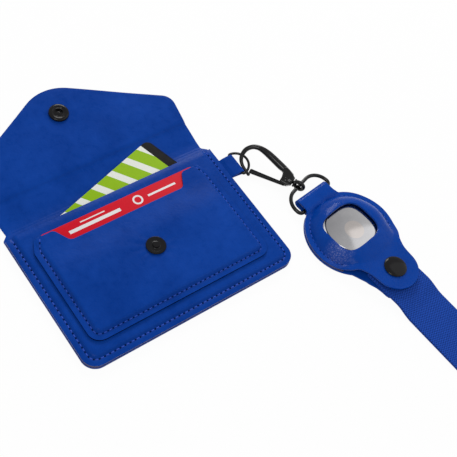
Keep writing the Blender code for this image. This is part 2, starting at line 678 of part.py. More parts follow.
def make_hook():
    """The cast hook with its slotted block, the sprung gate on its pin and the leaf spring."""
    axis = make_empty("hook_frame", HOOK_FRAME)
    points = [hook_point(u * HOOK_LENGTH, v * HOOK_WIDTH) + (0,) for u, v, size in SPINE_SHARES]
    sizes = [size for u, v, size in SPINE_SHARES]
    spine = wire("hook_body", points, 2 * SPINE_RADIUS, METAL, axis, closed=False, shares=sizes)
    hook = as_mesh(spine, METAL)
    corners = [hook_point(BLOCK_START + u * BLOCK_LENGTH, v * BLOCK_HALF) for u, v in BLOCK_SHARES]
    block = plate("hook_block", [corners], -BLOCK_THICKNESS / 2, BLOCK_THICKNESS / 2, None, axis)
    combine(hook, as_mesh(block, None), "UNION")
    along = Matrix.Rotation(math.pi / 2, 4, "Y")
    collar_end = BLOCK_START + COLLAR_LENGTH
    profile = [(0, collar_end), (COLLAR_RADIUS, collar_end), (COLLAR_RADIUS, BLOCK_START), (0, BLOCK_START)]
    combine(hook, turned("hook_collar", profile, None, axis, along), "UNION")

    slot_end = BLOCK_START + 2 * BLOCK_LENGTH
    slot = [hook_point(SLOT_START, SLOT_TOP), hook_point(SLOT_START, -2 * BLOCK_HALF),
            hook_point(slot_end, -2 * BLOCK_HALF), hook_point(slot_end, SLOT_TOP)]
    combine(hook, as_mesh(plate("gate_slot", [slot], -SLOT_WIDTH / 2, SLOT_WIDTH / 2, None, axis), None),
            "DIFFERENCE")
    wall_end = BLOCK_START + STEM_WALL
    bore = STEM_RADIUS + GAP
    pocket = STEM_HEAD_RADIUS + GAP
    pocket_end = SLOT_START + PIN_GAP
    before = BLOCK_START - OVERRUN
    profile = [(0, pocket_end), (pocket, pocket_end), (pocket, wall_end), (bore, wall_end), (bore, before),
               (0, before)]
    combine(hook, turned("swivel_bore", profile, None, axis, along), "DIFFERENCE")
    pin_frame = Matrix.Translation(hook_point(GATE_PIN_U, GATE_PIN_V) + (0,))
    clear = PIN_RADIUS + PIN_GAP
    reach = BLOCK_THICKNESS / 2 + OVERRUN
    profile = [(0, reach), (clear, reach), (clear, -reach), (0, -reach)]
    combine(hook, turned("pin_hole", profile, None, axis, pin_frame), "DIFFERENCE")

    half = BLOCK_THICKNESS / 2 + PIN_GAP
    tip = half + PIN_HEAD
    profile = [(0, tip), (PIN_HEAD_RADIUS, tip), (PIN_HEAD_RADIUS, half), (PIN_RADIUS, half),
               (PIN_RADIUS, -half), (PIN_HEAD_RADIUS, -half), (PIN_HEAD_RADIUS, -tip), (0, -tip)]
    turned("gate_pin", profile, METAL, axis, pin_frame, steps=ROUND_STEPS // 2)

    gate_axis = make_empty("gate_axis", pin_frame, axis)
    root = [(u * GATE_ROOT_RADIUS, -v * GATE_ROOT_RADIUS, size * GATE_ROOT_RADIUS)
            for u, v, size in GATE_ROOT_SHARES]
    end = GATE_REACH - GATE_PIN_U
    tip = [(end, GATE_DROP + side * GATE_WIDTH / 2, GATE_WIDTH / 4) for side in (-1, 1)]
    hole = circle(PIN_RADIUS + PIN_GAP, steps=ROUND_STEPS // 2)
    plate("hook_gate", [rounded(root[:3] + tip + root[3:]), hole], -GATE_THICKNESS / 2, GATE_THICKNESS / 2,
          METAL, gate_axis)

    high = SLOT_TOP - GAP
    start = SLOT_START + GAP
    upper = [(start, high), (start + SPRING_LENGTH / 2, high - SPRING_BEND * SPRING_BEND_SHARE),
             (start + SPRING_LENGTH, high - SPRING_BEND)]
    lower = [(u, v - SPRING_THICKNESS) for u, v in reversed(upper)]
    leaf = [hook_point(u, v) for u, v in upper + lower]
    plate("gate_spring", [leaf], -SPRING_WIDTH / 2, SPRING_WIDTH / 2, METAL, axis)


def make_swivel():
    """The eye with its stem, headed inside the hook's block."""
    axis = make_empty("swivel_axis", EYE_FRAME)
    corner = min(EYE_HALF_HEIGHT, EYE_HALF_LENGTH) * EYE_ROUND_SHARE
    loop = rounded([(EYE_CENTRE + x * EYE_HALF_LENGTH, y * EYE_HALF_HEIGHT, corner)
                    for x, y in ((1, 1), (-1, 1), (-1, -1), (1, -1))])
    eye = as_mesh(wire("swivel_eye", [(x, 0, z) for x, z in loop], EYE_WIRE, METAL, axis), METAL)
    shoulder = EYE_CENTRE + EYE_HALF_LENGTH
    shoulder_end = BLOCK_START - GAP
    head = BLOCK_START + STEM_WALL + GAP
    along = Matrix.Rotation(math.pi / 2, 4, "Y")
    profile = [(0, head + STEM_HEAD), (STEM_HEAD_RADIUS, head + STEM_HEAD), (STEM_HEAD_RADIUS, head),
               (STEM_RADIUS, head), (STEM_RADIUS, shoulder_end), (2 * STEM_RADIUS, shoulder_end),
               (2 * STEM_RADIUS, shoulder), (0, shoulder)]
    combine(eye, turned("swivel_stem", profile, None, axis, along, steps=ROUND_STEPS // 2), "UNION")


def make_large_ring():
    """The wide ring between the swivel eye and the holder's tab."""
    axis = make_empty("large_ring_frame", LARGE_FRAME)
    half = LARGE_HALF
    loop = rounded([(-half, 0, LARGE_BAR_RADIUS), (half, 0, LARGE_BAR_RADIUS),
                    (half, LARGE_DEPTH, LARGE_TOP_RADIUS), (-half, LARGE_DEPTH, LARGE_TOP_RADIUS)])
    wire("large_d_ring", [(x, y, 0) for x, y in loop], LARGE_WIRE, METAL, axis)


def smooth(share):
    """An even rise from 0 to 1."""
    share = min(max(share, 0.0), 1.0)
    return share * share * (3 - 2 * share)


def window_radius(angle):
    """Distance of the rounded square window's edge from its centre."""
    spread = abs(math.cos(angle)) ** WINDOW_SQUARENESS + abs(math.sin(angle)) ** WINDOW_SQUARENESS
    return WINDOW_HALF / spread ** (1 / WINDOW_SQUARENESS)


def dome_row(radius, seam_z, mouth_z, step_in):
    """One closed row of the domed front: straight at the tab and at the mouth, raised at the mouth."""
    points = []
    for step in range(DOME_STEPS):
        angle = 2 * math.pi * step / DOME_STEPS
        rise = math.sin(angle)
        reach = radius
        if rise > 0:
            reach = min(radius, (HOLDER_TAB_CHORD - step_in) / rise)
        elif rise < 0:
            reach = min(radius, (HOLDER_MOUTH_CHORD - step_in) / -rise)
        off_mouth = abs(angle - 1.5 * math.pi)
        share = smooth((MOUTH_CLOSED - off_mouth) / (MOUTH_CLOSED - MOUTH_OPEN))
        height = seam_z + (mouth_z - seam_z) * share
        points.append((reach * math.cos(angle), reach * math.sin(angle), height))
    return points


def mirrored(points):
    """A right-hand outline and its mirror image, as one loop."""
    return points + [(-x, y) for x, y in reversed(points)]


def make_holder():
    """Back with its tail, the seam's welts, the tab round the ring's bar and the domed front."""
    frame = make_empty("holder_frame", HOLDER_FRAME)
    start = math.asin(HOLDER_TAB_CHORD / HOLDER_RADIUS)
    half = STRAP_WIDTH / 2
    right = arc(HOLDER_RADIUS, start, TAIL_START, 2 * ROUND_STEPS // 3)
    right += [(TAIL_SHOULDER_HALF, -TAIL_SHOULDER), (half, -TAIL_NECK), (half, -TAIL_REACH)]
    plate("holder_back", [mirrored(right)], 0, HOLDER_BACK_THICKNESS, LEATHER, frame)

    inner = HOLDER_RADIUS - HOLDER_BORDER
    end = MOUTH_CLOSED - math.pi / 2
    strip = arc(HOLDER_RADIUS, start, end, ROUND_STEPS // 2) + arc(inner, end, start, ROUND_STEPS // 2)
    plate("holder_welt_right", [strip], WELT_Z, WELT_Z + WELT_THICKNESS, LEATHER, frame)
    strip = [(-x, y) for x, y in strip]
    plate("holder_welt_left", [strip], WELT_Z, WELT_Z + WELT_THICKNESS, LEATHER, frame)

    begin = HOLDER_TAB_CHORD + GAP
    root = HOLDER_TAB_CHORD - HOLDER_TAB_ROOT
    root_top = WELT_Z + WELT_THICKNESS
    bend = HOLDER_TAB_Z * BEND_SHARE
    outline = rounded([(root, root_top, 0), (root, WELT_Z, 0), (begin, WELT_Z, 0), (begin, 0, 0),
                       (HOLDER_TAB_REACH, 0, bend), (HOLDER_TAB_REACH, HOLDER_TAB_Z, bend),
                       (begin, HOLDER_TAB_Z, 0), (begin, root_top, 0)])
    low = HOLDER_TAB_LEATHER
    high = HOLDER_TAB_Z - HOLDER_TAB_LEATHER
    near = begin + HOLDER_TAB_LEATHER
    far = HOLDER_TAB_REACH - HOLDER_TAB_LEATHER
    bore = (high - low) * BEND_SHARE
    slot = rounded([(near, low, 0), (far, low, bore), (far, high, bore), (near, high, 0)])
    plate("holder_tab", [outline, slot], -HOLDER_TAB_WIDTH / 2, HOLDER_TAB_WIDTH / 2, LEATHER, frame,
          SECTION_ALONG_Y)

    rim_z = TRACKER_TOP_Z - TRACKER_CROWN + GAP
    rise = rim_z - HOLDER_FRONT_Z
    mouth_rise = rim_z - TONGUE_Z
    row_in = HOLDER_BORDER * ROW_STEP_SHARE
    rows = [dome_row(HOLDER_RADIUS, HOLDER_FRONT_Z, TONGUE_Z, 0),
            dome_row(inner, HOLDER_FRONT_Z, TONGUE_Z, row_in),
            dome_row(TRACKER_RADIUS + SHOULDER_REACH, HOLDER_FRONT_Z + rise * SHOULDER_SHARE,
                     TONGUE_Z + mouth_rise * MOUTH_SHARE, 2 * row_in),
            dome_row(TRACKER_RADIUS * CROWN_RADIUS_SHARE, HOLDER_FRONT_Z + rise * CROWN_SHARE,
                     HOLDER_FRONT_Z + rise * CROWN_SHARE, 0)]
    window = []
    for step in range(DOME_STEPS):
        angle = 2 * math.pi * step / DOME_STEPS
        reach = window_radius(angle)
        window.append((WINDOW_X + reach * math.cos(angle), reach * math.sin(angle), rim_z))
    rows.append(window)
    formed_sheet("holder_front", rows, [], HOLDER_LEATHER, LEATHER, frame, ring=True)
    return frame


def make_tracker(frame):
    """The round tracker in the holder: a plastic base and a plain steel cover."""
    top = WELT_Z + TRACKER_BASE
    radius = TRACKER_RADIUS
    edge = TRACKER_EDGE
    turned("tracker_base", [(0, top), (radius - edge, top), (radius, top - edge), (radius, WELT_Z + edge),
                            (radius - edge, WELT_Z), (0, WELT_Z)], PLASTIC, frame, steps=2 * ROUND_STEPS)
    low = top + GAP
    profile = [(radius * share, TRACKER_TOP_Z - TRACKER_COVER * drop) for share, drop in COVER_SHARES]
    profile += [(profile[-1][0], low), (0, low)]
    turned("tracker_cover", profile, STEEL, frame, steps=2 * ROUND_STEPS)


def make_tongue(frame):
    """The tongue that closes the mouth, its snap, and the snap's lower half on the strap's root."""
    top = TONGUE_Z + HOLDER_LEATHER
    start = HOLDER_MOUTH_CHORD + GAP
    hinge = make_empty("tongue_hinge", Matrix.Translation((0, -HOLDER_MOUTH_CHORD, top)), frame)
    to_hinge = Matrix.Translation((0, HOLDER_MOUTH_CHORD, -top))
    snap = Matrix.Translation((0, -HOLDER_SNAP, 0))
    right = [(TONGUE_START_HALF, -start), (TONGUE_NECK_HALF, -TONGUE_NECK)]
    right += arc(TONGUE_HALF, 0, -math.pi / 2, ROUND_STEPS // 3, (0, -HOLDER_SNAP))[:-1]
    tip = [(0, -HOLDER_SNAP - TONGUE_HALF)]
    outline = right + tip + [(-x, y) for x, y in reversed(right)]
    hole = circle(POST_RADIUS + GAP, (0, -HOLDER_SNAP), ROUND_STEPS // 2)
    plate("holder_tongue", [outline, hole], TONGUE_Z, top, LEATHER, hinge, to_hinge)
    stem = GAP + HOLDER_LEATHER + GAP + HOLDER_SOCKET_FLOOR / 2
    snap_cap("holder_snap_cap", top + GAP, 1, stem, METAL, hinge, to_hinge @ snap)
    snap_socket("holder_snap_socket", TONGUE_Z - GAP, HOLDER_SOCKET_Z, HOLDER_SOCKET_FLOOR, METAL, hinge,
                to_hinge @ snap)
    boss = HOLDER_SOCKET_HEIGHT - HOLDER_SOCKET_FLOOR
    snap_stud("holder_snap_stud", STUD_RADIUS, HOLDER_STUD_BASE, boss, HOLDER_STUD_Z, METAL, frame, snap)
    reach = HOLDER_STUD_Z + HOLDER_STUD_BASE
    snap_post("holder_snap_post", HOLDER_POST_FLANGE, WELT_Z, reach, METAL, frame, snap)


def strap_path():
    """Centre line of the webbing's loop, distance from its root and height, lower layer first."""
    half = WEBBING / 2
    lower = STRAP_Z + half
    upper = lower + WEBBING + GAP
    rest_upper = half + WEBBING + GAP
    bulge = STRAP_BULGE_HEIGHT - WEBBING
    top = half + bulge
    start = STRAP_LENGTH - STRAP_BULGE_LENGTH
    turn = STRAP_LENGTH - half - bulge / 2
    path = []
    for step in range(ARC_STEPS + 1):
        share = step / ARC_STEPS
        path.append((STRAP_DROP_RUN * share, lower + (half - lower) * smooth(share)))
    path.append((start, half))
    path += arc(bulge / 2, -math.pi / 2, math.pi / 2, 2 * ARC_STEPS, (turn, half + bulge / 2))
    for step in range(1, ARC_STEPS + 1):
        share = step / ARC_STEPS
        path.append((turn + (start - turn) * share, top + (rest_upper - top) * smooth(share)))
    for step in range(ARC_STEPS + 1):
        share = 1 - step / ARC_STEPS
        path.append((STRAP_DROP_RUN * share, upper + (rest_upper - upper) * smooth(share)))
    return path


def make_strap(frame):
    """The webbing's sewn root on the tail and its loop for the wrist."""
    half = STRAP_WIDTH / 2
    high = STRAP_Z + STRAP_STACK
    end = STRAP_START - GAP / 2
    root = [(half, -STRAP_ROOT_START), (-half, -STRAP_ROOT_START), (-half, -end), (half, -end)]
    hole = circle(POST_RADIUS + GAP, (0, -HOLDER_SNAP), ROUND_STEPS // 2)
    plate("strap_root", [root, hole], STRAP_Z, high, WEBBING_BLUE, frame)

    hinge = make_empty("strap_hinge", Matrix.Translation((0, -STRAP_START, high)), frame)
    to_hinge = Matrix.Translation((0, -GAP / 2, -high))
    drift = math.tan(STRAP_TURN)
    path = strap_path()
    mesh_rows = bmesh.new()
    right, left = [], []
    for distance, height in path:
        right.append(mesh_rows.verts.new((half + distance * drift, -distance, height)))
        left.append(mesh_rows.verts.new((-half + distance * drift, -distance, height)))
    for index in range(len(path) - 1):
        mesh_rows.faces.new((right[index], right[index + 1], left[index + 1], left[index]))
    mesh = bpy.data.meshes.new("wrist_strap")
    mesh_rows.to_mesh(mesh)
    mesh_rows.free()
    strap = place("wrist_strap", mesh, WEBBING_BLUE, hinge, to_hinge)
    solidify = strap.modifiers.new("webbing", "SOLIDIFY")
    solidify.thickness = WEBBING
    solidify.offset = 0
    solidify.use_even_offset = True


PARTS, CUTTERS = clear_scene()
LEATHER = make_finish("blue_leather", (0.010, 0.055, 0.330), 0.42)
LINING = make_finish("lining_blue", (0.010, 0.045, 0.260), 0.75)
METAL = make_finish("black_metal", (0.012, 0.012, 0.013), 0.28, 0.85)
RED_CARD = make_finish("red_card_plastic", (0.690, 0.018, 0.035), 0.35)
GREEN_CARD = make_finish("green_card_plastic", (0.330, 0.560, 0.030), 0.35)
PLASTIC = make_finish("white_plastic", (0.800, 0.800, 0.800), 0.30)
STEEL = make_finish("mirror_steel", (0.520, 0.510, 0.500), 0.12, 1.0)
WEBBING_BLUE = make_finish("blue_webbing", (0.010, 0.050, 0.330), 0.85)

make_wallet_body()
make_cards()
make_flap()
make_ring_tab()
make_hook()
make_swivel()
make_large_ring()
HOLDER = make_holder()
make_tracker(HOLDER)
make_tongue(HOLDER)
make_strap(HOLDER)
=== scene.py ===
"""Dresses the wrist lanyard card holder: wallet, cards, snap hook chain, tracker holder and wrist strap."""

import logging
from dataclasses import dataclass, field
from enum import Enum
from math import atan2, cos, degrees, exp, hypot, pi, radians, sin, sqrt, tan
from typing import Callable, Sequence

import bpy
from mathutils import Matrix, Vector


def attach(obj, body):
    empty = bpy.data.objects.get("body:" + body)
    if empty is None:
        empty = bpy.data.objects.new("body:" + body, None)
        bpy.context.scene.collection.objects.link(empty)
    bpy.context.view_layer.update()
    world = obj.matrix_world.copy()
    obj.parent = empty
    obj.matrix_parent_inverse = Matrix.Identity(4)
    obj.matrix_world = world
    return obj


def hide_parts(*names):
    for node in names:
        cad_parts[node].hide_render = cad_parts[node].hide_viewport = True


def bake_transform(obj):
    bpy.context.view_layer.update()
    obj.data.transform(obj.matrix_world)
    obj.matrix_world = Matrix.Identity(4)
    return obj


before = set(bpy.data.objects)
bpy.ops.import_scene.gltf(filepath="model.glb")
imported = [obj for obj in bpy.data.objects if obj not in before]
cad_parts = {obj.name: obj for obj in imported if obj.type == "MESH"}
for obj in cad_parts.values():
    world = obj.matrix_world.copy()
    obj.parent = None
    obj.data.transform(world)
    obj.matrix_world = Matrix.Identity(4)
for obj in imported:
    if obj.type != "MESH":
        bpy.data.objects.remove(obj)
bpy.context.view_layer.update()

LOG = logging.getLogger("card_holder")
WELD = 0.000002
STEEP = 0.4
SOFT_EDGE = 0.0002
FINE_EDGE = 0.0001
FOLD_ANGLE = 50
METAL_ANGLE = 60
PRESSED_ANGLE = 45
TURNED_ANGLE = 40
Piece = bpy.types.Object
Socket = bpy.types.NodeSocket
Point = tuple[float, float]
Triple = tuple[float, float, float]
Quad = tuple[float, float, float, float]
Place = Callable[..., Vector]


class Body(Enum):
    """The moving bodies that the pieces ride on."""

    WALLET = "wallet"
    FLAP = "flap"
    RED_CARD = "red card"
    GREEN_CARD = "green card"
    SMALL_RING = "small ring"
    HOOK = "hook"
    GATE = "gate"
    SWIVEL = "swivel"
    LARGE_RING = "large ring"
    HOLDER = "holder"
    TONGUE = "tongue"
    STRAP = "strap"


class Slot(Enum):
    """The record's material slots."""

    LEATHER = "blue_leather"
    LINING = "lining_blue"
    METAL = "black_metal"
    RED = "red_card_plastic"
    GREEN = "green_card_plastic"
    WHITE = "white_plastic"
    STEEL = "mirror_steel"
    WEBBING = "blue_webbing"


class Pattern(Enum):
    """The surface patterns that more than one material uses."""

    GRAIN = "leather_grain"
    HANDLING = "handling_marks"
    WEAVE = "webbing_weave"


def mm(*rows: float | Sequence) -> list:
    """Turns millimetres, alone or in rows, into metres."""
    return [row / 1000 if isinstance(row, (int, float)) else tuple(mm(*row)) for row in rows]


def rad(*angles: float) -> list[float]:
    """Turns degrees into radians."""
    return [radians(angle) for angle in angles]


def turned_frame(place: Sequence[float], azimuth: float, pitch: float = 0, roll: float = 0) -> Matrix:
    """Makes a frame whose X axis has an azimuth and a pitch and which is rolled about it.

    Args:
        place: The frame's origin in metres.
        azimuth: The X axis's heading in radians.
        pitch: How far the X axis rises, in radians.
        roll: The turn about the X axis, in radians.

    Returns:
        The frame as a matrix.
    """
    heading = Matrix.Rotation(azimuth, 4, "Z") @ Matrix.Rotation(-pitch, 4, "Y")
    return Matrix.Translation(place) @ heading @ Matrix.Rotation(-roll, 4, "X")


def smooth(share: float) -> float:
    """Eases a share from 0 to 1."""
    share = min(max(share, 0.0), 1.0)
    return share * share * (3 - 2 * share)


def mix(low: float, high: float, share: float) -> float:
    """Goes from one value to another by a share."""
    return low + (high - low) * share


def shares(count: int) -> list[float]:
    """Lists even shares from 0 to 1."""
    return [step / count for step in range(count + 1)]


def bell(distance: float, width: float) -> float:
    """Falls off smoothly from 1 at no distance."""
    return exp(-(distance / width) ** 2)


def step_curve(stops: Sequence[Point], place: float) -> float:
    """Reads a curve that runs straight between stops.

    Args:
        stops: Pairs of place and value, in rising order of place.
        place: Where the curve is read.

    Returns:
        The value there.
    """
    if place <= stops[0][0]:
        return stops[0][1]
    for (start, low), (end, high) in zip(stops, stops[1:]):
        if place <= end:
            return mix(low, high, (place - start) / (end - start))
    return stops[-1][1]


def arc(radius: float, start: float, end: float, steps: int, centre: Point = (0.0, 0.0)) -> list[Point]:
    """Lists points of an arc.

    Args:
        radius: The arc's radius.
        start: The first point's angle in radians.
        end: The last point's angle in radians.
        steps: The number of edges.
        centre: The arc's centre.

    Returns:
        The points from the first angle to the last.
    """
    angles = [mix(start, end, share) for share in shares(steps)]
    return [(centre[0] + radius * cos(angle), centre[1] + radius * sin(angle)) for angle in angles]


def rounded(corners: Sequence[Triple], closed: bool = True, steps: int = 8) -> list[Point]:
    """Rounds an outline's corners by arcs.

    Args:
        corners: Each corner's x, y and radius.
        closed: Whether the outline is a loop.
        steps: The number of edges of each arc.

    Returns:
        The outline's points.
    """
    points: list[Point] = []
    last = len(corners) - 1
    for index, (x, y, radius) in enumerate(corners):
        if radius == 0 or (not closed and index in (0, last)):
            points.append((x, y))
            continue
        here = Vector((x, y))
        before = (Vector(corners[index - 1][:2]) - here).normalized()
        after = (Vector(corners[(index + 1) % (last + 1)][:2]) - here).normalized()
        half = before.angle(after) / 2
        centre = here + (before + after).normalized() * (radius / sin(half))
        first = here + before * (radius / tan(half)) - centre
        final = here + after * (radius / tan(half)) - centre
        start = atan2(first.y, first.x)
        sweep = atan2(first.x * final.y - first.y * final.x, first.dot(final))
        points += arc(radius, start, start + sweep, steps, tuple(centre))
    return points


def evenly(points: Sequence[Sequence[float]], pitch: float) -> list[Vector]:
    """Walks along a path in even steps.

    Args:
        points: The path's points.
        pitch: The wanted distance between two of the new points.

    Returns:
        The new points, the path's ends among them.
    """
    path = [Vector(point) for point in points]
    lengths = [0.0]
    for one, two in zip(path, path[1:]):
        lengths.append(lengths[-1] + (two - one).length)
    made: list[Vector] = []
    index = 0
    for share in shares(max(1, round(lengths[-1] / pitch))):
        reach = lengths[-1] * share
        while index < len(path) - 2 and lengths[index + 1] < reach:
            index += 1
        span = max(lengths[index + 1] - lengths[index], WELD / 1000)
        made.append(path[index].lerp(path[index + 1], (reach - lengths[index]) / span))
    return made


def d_loop(radius: float, corner: float) -> list[Point]:
    """Draws a D: an arc about the middle of its straight bar, with small corners at the bar.

    Args:
        radius: The arc's radius.
        corner: The radius of the corners.

    Returns:
        The closed loop's points.
    """
    reach = sqrt((radius - corner) ** 2 - corner ** 2)
    sweep = atan2(reach, corner)
    points = arc(radius, -sweep, sweep, 40)
    points += arc(corner, sweep, pi, 8, (corner, reach))[1:]
    return points + arc(corner, -pi, -sweep, 8, (corner, -reach))[:-1]


def operation(kind: str, swapped: bool = False) -> Callable[["Signal", object], "Signal"]:
    """Makes an operator that adds a Math node; a swapped one has its own number second."""
    return lambda one, two: one.bench.math(kind, two, one) if swapped else one.bench.math(kind, one, two)


@dataclass(frozen=True)
class Signal:
    """A number that runs through a node tree and is reckoned with like a plain one."""

    bench: "NodeBench"
    socket: Socket

    __add__ = operation("ADD")
    __sub__ = operation("SUBTRACT")
    __rsub__ = operation("SUBTRACT", swapped=True)
    __mul__ = operation("MULTIPLY")
    __truediv__ = operation("DIVIDE")
    __gt__ = operation("GREATER_THAN")
    __lt__ = operation("LESS_THAN")
    __pow__ = operation("POWER")
    at_least = operation("MAXIMUM")
    at_most = operation("MINIMUM")

    def clamped(self) -> "Signal":
        """Keeps the number from 0 to 1."""
        self.socket.node.use_clamp = True
        return self

    def between(self, low: float, high: float) -> "Signal":
        """Gives 1 where the number lies between two others, and 0 elsewhere."""
        return (self > low) * (self < high)


class NodeBench:
    """Adds and links the nodes of one tree."""

    def __init__(self, tree: bpy.types.NodeTree) -> None:
        """Takes the tree that the nodes go into."""
        self.tree = tree

    def add(self, kind: str, inputs: dict | None = None, **settings: object) -> bpy.types.Node:
        """Adds a node.

        Args:
            kind: The node's type without its prefix.
            inputs: Values for its inputs by name or number; a socket or a signal is linked.
            settings: The node's own properties.

        Returns:
            The node.
        """
        node = self.tree.nodes.new("ShaderNode" + kind)
        for name, value in settings.items():
            setattr(node, name, value)
        for name, value in (inputs or {}).items():
            self.feed(node.inputs[name], value)
        return node

    def feed(self, end: Socket, value: object) -> None:
        """Gives a socket a value, or links a socket or a signal to it.

        Args:
            end: The socket that is fed.
            value: The value, socket or signal.
        """
        value = value.socket if isinstance(value, Signal) else value
        if isinstance(value, Socket):
            self.tree.links.new(value, end)
        else:
            end.default_value = value

    def read(self, kind: str, inputs: dict | None = None, output: str | int = 0, **settings: object) -> Signal:
        """Adds a node and reads one of its outputs.

        Args:
            kind: The node's type without its prefix.
            inputs: Values for its inputs.
            output: The output's name or number.
            settings: The node's own properties.

        Returns:
            The output as a signal.
        """
        return Signal(self, self.add(kind, inputs, **settings).outputs[output])

    def math(self, kind: str, one: object, two: object = 0.0) -> Signal:
        """Adds a Math node for one or two numbers or signals."""
        return self.read("Math", {0: one, 1: two}, operation=kind)

    def plane(self, place: object) -> tuple[Signal, Signal]:
        """Splits a vector and gives its X and Y."""
        parts = self.add("SeparateXYZ", {0: place})
        return Signal(self, parts.outputs[0]), Signal(self, parts.outputs[1])

    def scaled(self, source: Signal, low: float, high: float) -> Signal:
        """Spreads a number from 0 to 1 between two others."""
        return source * (high - low) + low

    def blend(self, share: object, low: object, high: object) -> Socket:
        """Mixes two colours, or sockets that carry one, by a share."""
        low, high = ((*end, 1.0) if isinstance(end, tuple) else end for end in (low, high))
        return self.add("MixRGB", {"Fac": share, "Color1": low, "Color2": high}).outputs[0]

    def direct_rays(self) -> Signal:
        """Gives 1 for rays that the camera, glass or a gloss sends, and 0 for the others."""
        rays = self.add("LightPath").outputs
        return self.math("MAXIMUM", rays["Is Camera Ray"], rays["Is Transmission Ray"]).at_least(rays["Is Glossy Ray"])


class PatternBook:
    """Builds each shared pattern once, as a node group."""

    def __init__(self) -> None:
        """Builds all the groups."""
        self.groups: dict[Pattern, bpy.types.NodeTree] = {}
        for pattern, draw in ((Pattern.GRAIN, self.grain), (Pattern.HANDLING, self.handling),
                              (Pattern.WEAVE, self.weave)):
            tree = bpy.data.node_groups.new(pattern.value, "ShaderNodeTree")
            for name, kind in (("Vector", "NodeSocketVector"), ("Scale", "NodeSocketFloat")):
                tree.interface.new_socket(name=name, in_out="INPUT", socket_type=kind)
            for name in ("Tone", "Gloss", "Height"):
                tree.interface.new_socket(name=name, in_out="OUTPUT", socket_type="NodeSocketFloat")
            bench = NodeBench(tree)
            into, out = tree.nodes.new("NodeGroupInput"), tree.nodes.new("NodeGroupOutput")
            values = draw(bench, into.outputs["Vector"], Signal(bench, into.outputs["Scale"]))
            for end, value in zip(out.inputs, values):
                bench.feed(end, value)
            self.groups[pattern] = tree

    @staticmethod
    def grain(bench: NodeBench, vector: Socket, scale: Signal) -> tuple[Signal, Signal, Signal]:
        """Fine pebbled leather grain with broad soft mottling.

        Args:
            bench: The group's bench.
            vector: The coordinates.
            scale: The grain's scale.

        Returns:
            The tone, the gloss and the height.
        """
        broad = bench.read("TexNoise", {"Vector": vector, "Scale": 42.0, "Detail": 3.0, "Roughness": 0.55})
        crease = bench.read("TexNoise", {"Vector": vector, "Scale": scale * 0.3, "Detail": 4.0, "Roughness": 0.6})
        cells = bench.read("TexVoronoi", {"Vector": vector, "Scale": scale}, "Distance", feature="SMOOTH_F1")
        tone = ((broad * 0.7 + crease * 0.3 - 0.5) * 2.4 + 0.5).clamped()
        return tone, crease, cells * 0.6 + crease * 0.5

    @staticmethod
    def handling(bench: NodeBench, vector: Socket, scale: Signal) -> tuple[Signal, Signal, Signal]:
        """Faint smears and specks that dull a smooth surface here and there.

        Args:
            bench: The group's bench.
            vector: The coordinates.
            scale: The smears' scale.

        Returns:
            The tone, the gloss and the height.
        """
        smear = bench.read("TexNoise", {"Vector": vector, "Scale": scale, "Detail": 5.0, "Roughness": 0.65,
                                        "Distortion": 0.6})
        return smear, smear ** 2.0, bench.read("TexNoise", {"Vector": vector, "Scale": scale * 9.0})

    @staticmethod
    def weave(bench: NodeBench, vector: Socket, scale: Signal) -> tuple[Signal, Signal, Signal]:
        """A close plain weave.

        Args:
            bench: The group's bench.
            vector: The coordinates in metres, X across the webbing and Y along it.
            scale: The weave's scale.

        Returns:
            The tone, the gloss and the height.
        """
        x, y = bench.plane(vector)
        across = bench.math("SINE", x * scale)
        along = bench.math("SINE", y * (scale * 0.8))
        check = bench.scaled(across * along, 0.5, 1.0)
        fibre = bench.read("TexNoise", {"Vector": vector, "Scale": 2600.0, "Detail": 2.0})
        height = check * 0.75 + bench.math("ABSOLUTE", across) * 0.15 + fibre * 0.25
        return check * 0.8 + fibre * 0.3, fibre, height


@dataclass
class Surface:
    """A surface while its material is made: where it is read and what it has so far."""

    bench: NodeBench
    place: Socket
    colour: Socket
    rough: Signal

    def tint(self, share: object, colour: Triple) -> None:
        """Lays a colour over the surface by a share."""
        self.colour = self.bench.blend(share, self.colour, colour)


@dataclass(frozen=True)
class Finish:
    """A finish that varies between two colours by a shared pattern."""

    name: str
    slot: Slot
    pattern: Pattern
    scale: float
    low: Triple
    high: Triple
    bump: float = 0.2
    gloss: Point = (0.0, 1.0)
    specular: float = 0.5
    bump_height: float = 0.0001
    metallic: float = 0.0
    coat: float = 0.0
    coat_roughness: float = 0.12
    by_uv: bool = False

    def make(self, book: PatternBook) -> bpy.types.Material:
        """Makes the finish's material.

        Args:
            book: The shared patterns.

        Returns:
            The material.
        """
        material = bpy.data.materials.new(self.name)
        material.use_nodes = True
        bench = NodeBench(material.node_tree)
        shader = material.node_tree.nodes["Principled BSDF"].inputs
        place = bench.add("TexCoord").outputs["UV" if self.by_uv else "Object"]
        group = bench.add("Group", {}, node_tree=book.groups[self.pattern])
        bench.feed(group.inputs["Vector"], place)
        bench.feed(group.inputs["Scale"], self.scale)
        tone, gloss, height = group.outputs
        colour = bench.blend(tone, self.low, self.high)
        surface = Surface(bench, place, colour, bench.scaled(Signal(bench, gloss), *self.gloss))
        self.paint(surface)
        bump = bench.add("Bump", {"Strength": self.bump, "Distance": self.bump_height, "Height": height})
        for name, value in (("Base Color", surface.colour), ("Roughness", surface.rough),
                            ("Normal", bump.outputs[0]), ("Metallic", self.metallic), ("Coat Weight", self.coat),
                            ("Coat Roughness", self.coat_roughness), ("Specular IOR Level", self.specular)):
            bench.feed(shader[name], value)
        return material

    def paint(self, surface: Surface) -> None:
        """Adds the finish's own marks to a surface; a plain finish has none."""


